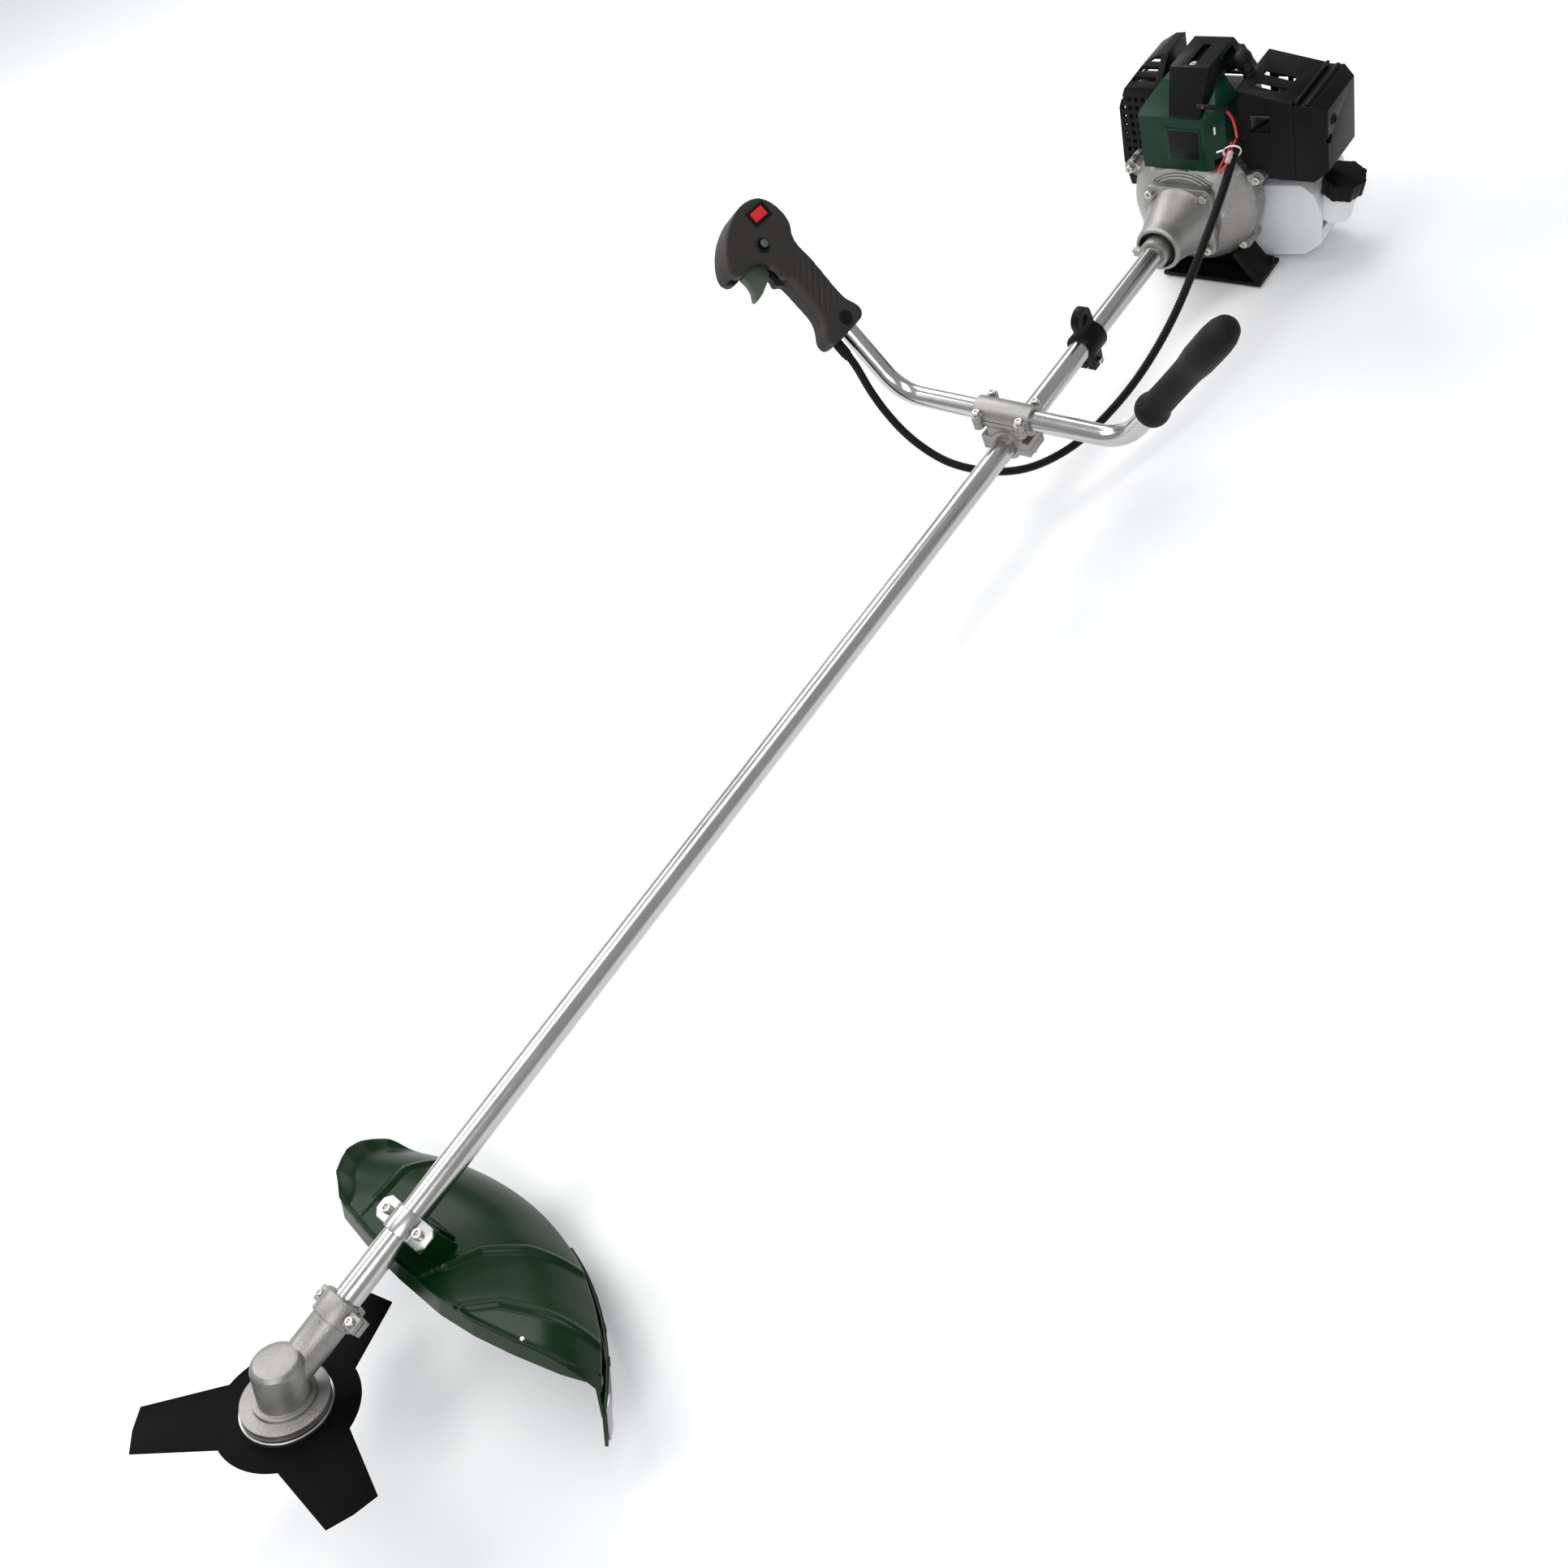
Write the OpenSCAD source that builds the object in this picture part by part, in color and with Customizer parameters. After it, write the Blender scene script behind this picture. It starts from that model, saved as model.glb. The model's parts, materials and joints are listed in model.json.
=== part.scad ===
// Two-stroke brush cutter with bicycle handlebar, three-tooth blade and guard.
// Machine frame: X along the shaft tube towards the engine, Z up, origin where
// the tube axis meets the blade spindle axis. machine() lays it on the ground.

/* [Shaft] */
// Outer diameter of the shaft tube
tube_d = 26; // [24:0.5:28]
// Wall of the shaft tube
tube_wall = 1.5; // [1:0.1:2]
// Length of the shaft tube
tube_len = 1500; // [1500:1:1500]
// Diameter of the solid drive shaft
shaft_d = 7; // [6:0.5:8]

/* [Cutting head] */
// Angle between the spindle and the vertical when the tube lies level
head_angle = 30; // [28:1:32]
// Diameter of the blade over its tips
blade_d = 255; // [230:1:255]
// Bore of the blade
blade_bore = 25.4; // [25.4:0.1:25.4]
// Thickness of the blade
blade_t = 1.6; // [1.4:0.1:2]
// Thread diameter of the spindle's free end
spindle_d = 10; // [8:1:10]

/* [Guard] */
// Radius of the guard's rim
guard_r = 282; // [276:1:288]
// Plastic thickness of the guard
guard_t = 3; // [2.5:0.1:4]

/* [Handlebar] */
// Outer diameter of the handlebar
bar_d = 23; // [22:0.5:24]
// Half of the distance between the handlebar's bends
bar_apex = 147; // [140:1:155]
// Angle of the arms above the bar's straight middle
arm_angle = 52; // [48:1:56]
// Lean of the arms towards the engine
bar_lean = 5.2; // [0:0.1:8]
// Length of each arm from its bend
arm_len = 182; // [176:1:186]

/* [Harness] */
// Bore of the harness eye
eye_d = 12; // [10:1:13]

/* [Engine] */
// Cylinder bore
bore_d = 44; // [42:1:44]
// Piston stroke
stroke = 34; // [32:1:34]

/* [Hidden] */
$fn = 64;
fit = 0.02;              // radial gap of a seated fit
run = 0.05;              // radial gap of a running fit
// Ground: the machine rests on its guard extension and its engine stand
stand_bottom = -104;     // height of the stand's underside in the machine frame
stand_rear_x = 1668;
guard_low = -162.81;     // lowest point of the guard extension, at guard_low_x
guard_low_x = 205.9;
lie_angle = atan((stand_bottom - guard_low) / (stand_rear_x - guard_low_x));
mid_x = 822.218;              // puts the origin under the middle of the machine
mid_y = 24.3187;
rest_h = -stand_bottom * cos(lie_angle) + stand_rear_x * sin(lie_angle);
// Shaft line
tube_x0 = 52;
tube_x1 = tube_x0 + tube_len;
tube_r = tube_d / 2;
sleeve_x0 = 1523;
case_x0 = 1533;
case_x1 = 1600;
drum_r = 30;
bush_x = [300, 620, 940, 1260];
// Bevel pair: shaft angle 60 degrees, both cones meet at the origin
pinion_teeth = 14;
gear_teeth = 19;
pinion_cone = atan(sin(60) / (gear_teeth / pinion_teeth + cos(60)));
gear_cone = 60 - pinion_cone;
cone_len = 24;
face_w = 9;
// Stack along the spindle, from the blade up
blade_s = -32;
holder_s0 = blade_s + blade_t;
holder_s1 = -25.3;
flange_s0 = -24;
// Guard profile
plate_s = 42;
skirt_s = -20;
guard_mid = [-20, -8, 0]; // centre of the rim beside the spindle
ext_a0 = -51;            // end angles of the extension about that centre
ext_a1 = -14;
ext_s0 = -38;
// Handlebar
bar_x = 1199.5;
bar_z = 33;
bar_r = bar_d / 2;
bend_r = 60;
grip_w0 = 94;            // where the throttle grip starts along the arm
head_t = 34;             // thickness of the throttle head
eye_x = 1362;
eye_z = 34;
clamp_x = 1366;
// Engine
cyl_x = 1673;
crank_r = stroke / 2;
rod_len = 64;
bore_r = bore_d / 2;
deck_z = 40;
pin_z = -crank_r;
wrist_z = pin_z + rod_len;
housing_r = 80;
starter_r = 50;
pull = [0, -0.5, 0.866]; // direction in which the starter handle is pulled
handle_at = [1746, -79, 56];
cap_at = [1685, -158, -6];
cap_tilt = 15;
// Free cable from the throttle grip to the engine
loom_d = 10;
loom_route = [
    [1182.5, 206, 110], [1181.5, 196, 99], [1178, 182, 82], [1170, 164, 57], [1166, 147, 32], [1164,
        126, 7],
    [1165, 103, -14], [1169, 78, -31], [1176, 50, -41], [1187, 20, -47], [1204, -6, -50],
    [1228, -28, -49], [1258, -46, -45], [1294, -60, -37], [1334, -72, -25], [1376, -81, -8],
    [1420, -87, 14], [1464, -89, 39], [1506, -88, 60], [1546, -85, 78], [1582, -80, 93],
    [1604, -76, 101]
];
wire_d = 3;
wire_route = [
    [1604, -76, 106], [1611, -71, 113], [1614, -66, 124], [1611, -60, 134], [1604, -50, 141],
    [1601, -38, 143]
];
cable_d = 5;
cable_route = [[1605.4, -80.4, 101.6], [1617, -84, 104], [1629, -86.6, 103.6], [1641, -87.6, 100.6],
    [1651.4, -87.8, 97]];

// ---------- frames and small helpers ----------
module machine() {
    translate([-mid_x, -mid_y, rest_h]) rotate([0, lie_angle, 0]) children();
}
module head() {
    machine() rotate([0, head_angle, 0]) children();
}
module bar_plane() {
    machine() translate([bar_x, 0, bar_z]) rotate([0, bar_lean, 0]) children();
}
module arm(side) {
    bar_plane() translate([0, side * bar_apex, 0]) rotate([-side * (90 - arm_angle), 0, 0]) children();
}
module along_x(x0, x1, r, r2 = undef) {
    translate([x0, 0, 0]) rotate([0, 90, 0]) cylinder(h = x1 - x0, r1 = r, r2 = r2 == undef ? r : r2);
}
module ring_x(x0, x1, ro, ri) {
    difference() {
        along_x(x0, x1, ro);
        along_x(x0 - 1, x1 + 1, ri);
    }
}
module ring_z(z0, z1, ro, ri) {
    translate([0, 0, z0]) difference() {
        cylinder(h = z1 - z0, r = ro);
        translate([0, 0, -1]) cylinder(h = z1 - z0 + 2, r = ri);
    }
}
module disc_z(z0, z1, r) {
    translate([0, 0, z0]) cylinder(h = z1 - z0, r = r);
}
// Box from its lowest corner to its highest
module block(a, b) {
    translate(a) cube(b - a);
}
// Turned solid about the X axis from points [x, r]
module turned_x(pts) {
    rotate([0, 90, 0]) rotate_extrude() polygon([for (p = pts) [p[1], p[0]]]);
}
// Turns children's Z axis onto +X, and an outline drawn in (y, z) onto the YZ plane
module yz_extrude(x0, x1) {
    translate([x0, 0, 0]) rotate([90, 0, 90]) linear_extrude(x1 - x0) children();
}
// Socket head screw: head above z = 0, shank below
module screw(d, len) {
    difference() {
        union() {
            cylinder(h = d, r = d * 0.8, $fn = 32);
            translate([0, 0, -len]) cylinder(h = len + 0.1, r = d / 2, $fn = 32);
        }
        translate([0, 0, d * 0.45]) cylinder(h = d, r = d * 0.46, $fn = 6);
    }
}
// Tube mesh swept along a route
function unit(v) = v / norm(v);
function tangent(r, i) = unit(r[min(i + 1, len(r) - 1)] - r[max(i - 1, 0)]);
function side_of(t) = unit(cross(t, abs(t[2]) > 0.9 ? [0, 1, 0] : [0, 0, 1]));
module swept(route, d, sides = 8) {
    n = len(route);
    pts = [for (i = [0:n - 1]) let (t = tangent(route, i), a = side_of(t), b = cross(t, a))
        for (k = [0:sides - 1]) route[i] + d / 2 * (cos(k * 360 / sides) * a + sin(k * 360 / sides) * b)];
    walls = [for (i = [0:n - 2], k = [0:sides - 1]) let (j = (k + 1) % sides)
        [i * sides + k, (i + 1) * sides + k, (i + 1) * sides + j, i * sides + j]];
    polyhedron(pts, concat([[for (k = [0:sides - 1]) k]], walls,
        [[for (k = [sides - 1:-1:0]) (n - 1) * sides + k]]));
}

// ---------- shaft line ----------
module outer_tube() color("#c9cbce") machine() ring_x(tube_x0, tube_x1, tube_r, tube_r - tube_wall);

module drive_shaft() color("#8d9196") machine() {
    along_x(47, 1560, shaft_d / 2);
    translate([37, -2.5, -2.5]) cube([11, 5, 5]);
    translate([1559, -2.5, -2.5]) cube([13, 5, 5]);
}

module bearings() color("#a9adb2") {
    machine() {
        ring_x(25.5, 33.5, 13, 5 + run);
        ring_x(34.2, 42.2, 13, 5 + run);
        for (x = bush_x) ring_x(x, x + 25, tube_r - tube_wall - fit, shaft_d / 2 + run);
        ring_x(1563, 1571, 14, 6 + run);
        ring_x(1648, 1657, 17.5, 7.5 + run);
        ring_x(1689, 1698, 17.5, 7.5 + run);
    }
    head() {
        ring_z(flange_s0, -14, 16, 6 + run);
        ring_z(23.4, 28.4, 8, 4 + run);
    }
}

// ---------- gear head ----------
module gear_case() color("#a7a8a6") difference() {
    union() {
        machine() {
            along_x(0, 64, 17.5);
            along_x(62, 83, 20);
            translate([66, -31, -7]) cube([14, 14, 14]);
            translate([66, 17, -5]) cube([14, 10, 10]);
        }
        head() {
            disc_z(-18, 24, 22.5);
            rotate_extrude() polygon([[0, 24], [22.5, 24], [21.6, 27.5], [18.5, 30.4], [14, 31.5],
                [0, 31.5]]);
            disc_z(-17.5, -12.5, 27);
            disc_z(flange_s0, -17, 38);
        }
    }
    machine() {
        along_x(-2, 25.4, 12.8);
        along_x(25.3, 84, tube_r + fit);
        translate([64, -32, -1]) cube([20, 20, 2]);
    }
    head() {
        disc_z(-14.5, 23, 16.5);
        disc_z(flange_s0 - 1, -14, 16 + fit);
        disc_z(22, 28.6, 8 + fit);
    }
}

// Straight bevel teeth that converge on the cones' common apex
module bevel_teeth(count, cone, phase) {
    for (i = [0:count - 1])
        rotate([0, 0, i * 360 / count + phase]) rotate([0, cone, 0]) translate([0, 0, cone_len])
            rotate([180, 0, 0]) linear_extrude(height = face_w, scale = (cone_len - face_w) / cone_len)
                polygon([[-1.7, -1.3], [0, -0.92], [1.2, -0.45], [1.2, 0.45], [0, 0.92], [-1.7, 1.3]]);
}

module bevel_body(cone, back) {
    root = tan(cone - 3.2);
    z0 = (cone_len - face_w) * cos(cone);
    z1 = cone_len * cos(cone);
    translate([0, 0, z0]) cylinder(h = z1 - z0, r1 = z0 * root, r2 = z1 * root);
    disc_z(z1 - 0.1, back, z1 * root);
}

module pinion_gear() color("#77797c") machine() rotate([0, 90, 0]) difference() {
    union() {
        bevel_teeth(pinion_teeth, pinion_cone, 0);
        bevel_body(pinion_cone, 24.8);
        disc_z(24, 46, 5);
    }
    translate([-2.55, -2.55, 36]) cube([5.1, 5.1, 20]);
}

module output_gear() color("#77797c") head() difference() {
    union() {
        bevel_teeth(gear_teeth, gear_cone, 180 / gear_teeth);
        bevel_body(gear_cone, 22.3);
    }
    disc_z(0, 40, 5);
}

module spindle() color("#85878a") head() {
    disc_z(22.4, 28.2, 4);
    disc_z(-13, 22.5, 5);
    disc_z(blade_s + 0.1, -12.9, 6);
    disc_z(-54, blade_s + 0.2, spindle_d / 2);
}

module blade_holder() color("#9b9c9c") head() difference() {
    union() {
        disc_z(holder_s0, holder_s1, 40);
        disc_z(blade_s + 0.2, holder_s0 + 0.1, blade_bore / 2 - run);
    }
    disc_z(-40, -20, 6);
    ring_z(holder_s1 - 2.5, holder_s1 + 1, 36.5, 22);
}

// One blade tooth and its share of the hub, pointing along +X
module blade_tooth() {
    tip_r = blade_d / 2;
    polygon([
        [0, 0], [62 * cos(31), -62 * sin(31)], [tip_r * cos(10.2), -tip_r * sin(10.2)],
        [tip_r, 0], [tip_r * cos(10.2), tip_r * sin(10.2)], [62 * cos(31), 62 * sin(31)]
    ]);
}

module blade() color("#141414") head() rotate([0, 0, 141.7]) difference() {
    translate([0, 0, blade_s]) linear_extrude(blade_t) union() {
        circle(r = 62);
        for (a = [0, 120, 240]) rotate(a) blade_tooth();
    }
    disc_z(-40, -20, blade_bore / 2);
}

module blade_fasteners() color("#8c8d8f") head() difference() {
    union() {
        disc_z(-35, blade_s, 30);
        disc_z(-37.5, -35, 21);
        translate([0, 0, -46]) cylinder(h = 8.5, r = 9.8, $fn = 6);
    }
    disc_z(-50, -30, spindle_d / 2);
}

// ---------- guard ----------
guard_outline = [
    [131, 99], [125, 46], [123, 0], [124, -60], [130, -100], [140, -140], [154, -185], [170, -222],
    [330, -222], [330, 110], [238, 134], [214, 149], [188, 151], [163, 143], [145, 126]
];
// Line of the guard's outer face, from the plate over the rim to the skirt, moved out by d
function guard_line(d) = [
    [90, plate_s + d], [guard_r - 50, plate_s + d], [guard_r - 20 + 0.4 * d, plate_s - 4 + 0.95 * d],
    [guard_r - 6 + 0.8 * d, plate_s - 12 + 0.7 * d], [guard_r + d, plate_s - 24 + 0.4 * d],
        [guard_r + 3 + d, skirt_s]
];
module guard_layer(lo, hi) {
    back = guard_line(lo);
    translate(guard_mid) rotate([0, 0, -75]) rotate_extrude(angle = 130)
        polygon(concat(guard_line(hi), [for (i = [5:-1:0]) back[i]]));
}
guard_ribs = [
    [[150, -36], [183, -47], [213, -77], [236, -116]],
    [[132, -84], [156, -104], [176, -142], [196, -188]]
];

module guard() color("#0d2a14") {
    head() intersection() {
        union() {
            guard_layer(-guard_t, 0);
            // Lip along the front edge and round the left wing
            intersection() {
                translate([0, 0, 22]) linear_extrude(plate_s - 23) difference() {
                    square([380, 520], center = true);
                    offset(delta = -guard_t) polygon(guard_outline);
                }
                translate(guard_mid) disc_z(0, 60, guard_r - 1);
            }
            // Ribs that run out to the rim
            intersection() {
                guard_layer(-1, 4);
                translate([0, 0, 10]) linear_extrude(50) for (rib = guard_ribs, i = [0:2])
                    let (a = rib[i], b = rib[i + 1]) translate(a) rotate(atan2(b[1] - a[1], b[0] - a[0]))
                        translate([-1, -2.5]) square([norm(b - a) + 2, 5]);
            }
        }
        translate([0, 0, -60]) linear_extrude(140) polygon(guard_outline);
    }
    // Saddle under the tube
    machine() difference() {
        translate([144, -30, -60]) cube([32, 60, 60]);
        along_x(140, 180, tube_r + fit);
        rotate([0, head_angle, 0]) translate([100, -40, plate_s - 70]) cube([110, 80, 69]);
    }
}
module guard_extension() color("#10331a") head() translate(guard_mid) difference() {
    rotate([0, 0, ext_a0]) rotate_extrude(angle = ext_a1 - ext_a0) polygon([
        [guard_r + 3.3, ext_s0], [guard_r + 6.3, ext_s0], [guard_r + 6.3, 6], [guard_r + 3.3, 6]
    ]);
    for (a = [-47:7:-18]) rotate([0, 0, a]) translate([guard_r, -5, -2]) cube([12, 10, 4]);
}

module guard_bracket() color("#b9bbbd") machine() difference() {
    union() {
        along_x(149, 172, tube_r + 2.8);
        for (s = [-1, 1]) translate([149, s * 24 - 12, 0.1]) cube([23, 24, 3]);
    }
    along_x(148, 173, tube_r + fit);
    translate([140, -50, -30]) cube([40, 100, 30.1]);
    for (s = [-1, 1], c = [0, 1])
        translate([149 + 23 * c, s * 36, 0]) rotate([0, 0, 45]) cube([9, 9, 20], center = true);
}

module line_knife() color("#6f7173") head() translate(guard_mid) rotate([0, 0, ext_a0 + 2.2])
    translate([guard_r + 6.35, 0, ext_s0 + 2]) difference() {
        translate([0, -9, 0]) cube([1.8, 18, 42]);
        translate([-1, -14, -8]) rotate([45, 0, 0]) cube([5, 12, 12]);
    }

// ---------- handlebar bracket ----------
module bracket_base() color("#a4a5a4") machine() difference() {
    union() {
        along_x(bar_x - 15, bar_x + 15, 19);
        translate([bar_x - 15, -31, -10]) cube([30, 62, 9.7]);
    }
    along_x(bar_x - 20, bar_x + 20, tube_r + fit);
    translate([bar_x - 20, -40, -0.3]) cube([40, 80, 30]);
}

module bracket_body() color("#a4a5a4") machine() difference() {
    union() {
        translate([bar_x - 15, -31, 0.3]) cube([30, 62, 9]);
        along_x(bar_x - 15, bar_x + 15, 19);
        translate([bar_x - 13, -22, 5]) cube([26, 44, 20]);
        translate([bar_x, 36, bar_z]) rotate([90, 0, 0]) cylinder(h = 72, r = 17);
        for (sx = [-1, 1], sy = [-1, 1]) translate([bar_x + sx * 17, sy * 28, bar_z - 9])
            cylinder(h = 8.7, r = 6.5);
    }
    along_x(bar_x - 20, bar_x + 20, tube_r + fit);
    translate([bar_x, 40, bar_z]) rotate([90, 0, 0]) cylinder(h = 80, r = bar_r + fit);
    translate([bar_x - 30, -50, bar_z - 0.3]) cube([60, 100, 30]);
    translate([bar_x - 30, -50, -40]) cube([60, 100, 40.3]);
}

module bracket_cap() color("#a4a5a4") machine() difference() {
    union() {
        translate([bar_x, 36, bar_z]) rotate([90, 0, 0]) cylinder(h = 72, r = 16);
        for (sx = [-1, 1], sy = [-1, 1]) translate([bar_x + sx * 17, sy * 28, bar_z + 0.3])
            cylinder(h = 8, r = 6.5);
    }
    translate([bar_x, 40, bar_z]) rotate([90, 0, 0]) cylinder(h = 80, r = bar_r + fit);
    translate([bar_x - 30, -50, bar_z - 30 + 0.3]) cube([60, 100, 30]);
}

// Tube of the handlebar: straight middle, two bends and two arms
module handlebar() color("#c9cbce") {
    tan_len = bend_r * tan(arm_angle / 2);
    straight = bar_apex - tan_len;
    inner = bar_r - 1.6;
    bar_plane() rotate([90, 0, 0]) ring_z(-straight, straight, bar_r, inner);
    for (side = [-1, 1]) {
        bar_plane() translate([0, side * straight, bend_r]) rotate([0, 90, 0])
            rotate([0, 0, side > 0 ? -1 : -arm_angle - 1]) rotate_extrude(angle = arm_angle + 2)
                translate([bend_r, 0]) difference() {
                    circle(r = bar_r - 0.05);
                    circle(r = inner + 0.05);
                }
        arm(side) ring_z(tan_len, arm_len, bar_r, inner);
    }
}

module plain_grip() color("#111111") arm(-1) difference() {
    rotate_extrude() polygon([
        [0, 52], [17, 52], [19, 56], [19, 62], [15.8, 68], [15.5, 135], [18.5, 146], [20, 160],
        [20, 182], [17, 194], [10, 201], [0, 203]
    ]);
    disc_z(50, arm_len + 0.5, bar_r + fit);
}

// ---------- throttle grip ----------
head_outline = [
    [17, 186], [9, 196], [6, 208], [9, 216], [20, 222], [24, 232], [22, 256], [13, 268], [-4, 273],
    [-30, 270], [-54, 260], [-74, 243], [-82, 230], [-79, 220], [-70, 216], [-56, 218], [-44, 215],
    [-34, 206], [-29, 194], [-30, 187], [-22, 186], [-17, 180]
];
base_outline = [
    [-17, 150], [-18, 132], [-22, 122], [-31, 113], [-37, 106], [-38, 99], [-34, 94], [-26, 92.5],
    [8, 92.5], [17, 95], [22, 101], [23, 107], [19, 114], [17, 124], [16.5, 150]
];
module head_plate(inset, half_t) {
    translate([0, half_t, 0]) rotate([90, 0, 0]) linear_extrude(2 * half_t)
        offset(delta = -inset) polygon(head_outline);
}
module grip_core() {
    rotate_extrude() polygon([[0, grip_w0 + 3], [17, grip_w0 + 3], [18, grip_w0 + 24], [16.5, 150],
        [16.5, 188], [0, 188]]);
    translate([0, 12.5, 0]) rotate([90, 0, 0]) linear_extrude(25) polygon(base_outline);
}
module throttle_case() {
    difference() {
        union() {
            grip_core();
            head_plate(0, head_t / 2);
        }
        disc_z(80, arm_len + 1, bar_r + fit);
        head_plate(3, head_t / 2 - 3);
        disc_z(arm_len, 200, 10);
        // Slots for the trigger, the lockout lever, the switch and the button
        translate([-68, -6.5, 176]) cube([45, 13, 46]);
        translate([3, -5, 184]) cube([40, 10, 43]);
        translate([-14.7, -20, 247.5]) cube([23.4, 8, 13]);
        translate([-27, 0, 226]) rotate([90, 0, 0]) cylinder(h = 30, r = 5 + run);
        translate([-24, 0, 90]) cylinder(h = 16, r = loom_d / 2 + 0.6);
    }
    // Pivot pins of the trigger and the lockout lever
    for (p = [[-46, 234], [12, 226]]) translate([p[0], 15, p[1]]) rotate([90, 0, 0]) cylinder(h = 30,
        r = 2);
}
module throttle_shell_front() color("#2b2a28") arm(1) intersection() {
    throttle_case();
    translate([-100, -60, 80]) cube([140, 60 - 0.02, 220]);
}
module throttle_shell_back() color("#2b2a28") arm(1) intersection() {
    throttle_case();
    translate([-100, 0.02, 80]) cube([140, 60, 220]);
}

module throttle_trigger() color("#4a5a4c") arm(1) difference() {
    translate([0, 5, 0]) rotate([90, 0, 0]) linear_extrude(10) polygon([
        [-41, 239], [-50, 239], [-55, 232], [-66, 215], [-65, 206], [-67, 197], [-73, 189], [-71, 186],
        [-60, 188], [-47, 193], [-35, 200], [-35, 212], [-38, 226]
    ]);
    translate([-46, 10, 234]) rotate([90, 0, 0]) cylinder(h = 20, r = 2 + run);
}

module lockout_lever() color("#4a5a4c") arm(1) difference() {
    translate([0, 4, 0]) rotate([90, 0, 0]) linear_extrude(8) polygon([
        [8, 230], [15, 230], [15.5, 221], [13, 214], [21.5, 187], [20.5, 185.2], [11, 184.8], [8.5,
            200], [8, 218]
    ]);
    translate([12, 10, 226]) rotate([90, 0, 0]) cylinder(h = 20, r = 2 + run);
}

module lock_button() color("#3b3b3b") arm(1) translate([-27, 0, 226]) rotate([90, 0, 0]) {
    disc_z(9.5, 23, 5);
    disc_z(9.5, 13.5, 7);
}

module stop_switch() color("#c2182b") arm(1) difference() {
    translate([-3, 0, 254]) union() {
        translate([-10, -18.5, -6]) cube([20, 8, 12]);
        rotate([0, 90, 0]) translate([0, -12, -10.4]) cylinder(h = 20.8, r = 1.5);
    }
    translate([-3, -30, 254]) rotate([90, 0, 0]) cylinder(h = 0.1, r = 1);
}

// ---------- harness clamp ----------
module harness_clamp() color("#161616") machine() difference() {
    union() {
        along_x(clamp_x - 14, clamp_x + 14, 18.5);
        hull() {
            translate([eye_x, 5, eye_z]) rotate([90, 0, 0]) cylinder(h = 10, r = 14, $fn = 32);
            translate([clamp_x - 12, -5, 12]) cube([26, 10, 4]);
        }
        translate([clamp_x - 9, -11, -34]) cube([18, 22, 20]);
    }
    along_x(clamp_x - 20, clamp_x + 20, tube_r + fit);
    translate([clamp_x - 20, -1, -40]) cube([40, 2, 30]);
    translate([eye_x, 8, eye_z]) rotate([90, 0, 0]) cylinder(h = 16, r = eye_d / 2);
}

// ---------- screws ----------
fan_bolts = [[-83, 38], [-61, -52], [61, -52], [83, 38]];
module socket_screws() color("#b7b3a6") {
    machine() {
        translate([73, -25, 7]) screw(5, 18);
        translate([73, 23, 5]) screw(4, 10);
        for (s = [-1, 1]) translate([160.5, s * 23, 3.1]) screw(6, 26);
        for (sx = [-1, 1], sy = [-1, 1]) translate([bar_x + sx * 17, sy * 28, bar_z + 8.3]) screw(5, 16);
        for (s = [-1, 1]) translate([bar_x, s * 25, -10]) rotate([180, 0, 0]) screw(5, 15);
        translate([clamp_x, -11, -26]) rotate([90, 0, 0]) screw(5, 24);
        translate([1528, 26, 0]) rotate([-90, 0, 0]) screw(4, 9);
        for (sy = [-1, 1], sz = [-1, 1]) translate([1590, sy * 35.4, sz * 35.4]) rotate([0, -90, 0])
            screw(6, 16);
        for (p = fan_bolts) translate([1630, p[0], p[1]]) rotate([0, -90, 0]) screw(6, 22);
        for (s = [-1, 1]) translate([1712, s * 40, 48]) rotate([0, 90, 0]) screw(5, 18);
        translate([1642, -9, 163.9]) screw(5, 10);
    }
    arm(1) translate([-2, -17.5, grip_w0 + 12]) rotate([90, 0, 0]) screw(4, 2);
}

// ---------- free cables ----------
module throttle_loom() color("#101010") machine() swept(loom_route, loom_d);
module loom_tail() color("#b3202a") machine() {
    swept(wire_route, wire_d);
    swept(cable_route, cable_d);
}

// ---------- clutch ----------
module tube_sleeve() color("#a7a8a6") machine() difference() {
    union() {
        along_x(sleeve_x0, 1554, 18);
        translate([sleeve_x0, 16, -4]) cube([10, 10, 8]);
    }
    along_x(sleeve_x0 - 1, 1560, tube_r + fit);
}

module damper_ring() color("#1a1a1a") machine() ring_x(case_x0 + 5, 1558, 24, 18 + fit);

module clutch_case() color("#acadaa") machine() difference() {
    union() {
        turned_x([[case_x0, 0], [case_x0, 27], [case_x0 + 3, 29], [1548, 30], [1584, 41], [1592, 44],
            [1592, 0]]);
        hull() for (sy = [-1, 1], sz = [-1, 1])
            translate([1590, sy * 34, sz * 34]) rotate([0, 90, 0]) cylinder(h = 10, r = 10, $fn = 32);
    }
    along_x(case_x0 - 1, 1559, 24 + fit);
    along_x(1550, 1590, 9);
    along_x(1562.9, 1580, 14 + fit);
    along_x(1573, 1601, 34);
}

module clutch_drum() color("#6d6f71") machine() difference() {
    union() {
        along_x(1574.5, 1598, drum_r);
        along_x(1560.5, 1576, 6);
    }
    along_x(1577.5, 1599, drum_r - 2.2);
    translate([1550, -2.55, -2.55]) cube([24, 5.1, 5.1]);
}

module clutch_shoes() color("#7c6c5a") machine() {
    for (a = [0, 180]) rotate([a, 0, 0]) difference() {
        ring_x(1579.5, 1593, drum_r - 2.9, 15);
        translate([1570, -40, -40]) cube([40, 80, 43]);
    }
    ring_x(1593.5, 1597, 22, 6);
    for (a = [45, 225]) rotate([a, 0, 0]) translate([1586, 0, 20]) rotate([0, 90, 0]) cylinder(h = 9,
        r = 3);
}

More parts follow.
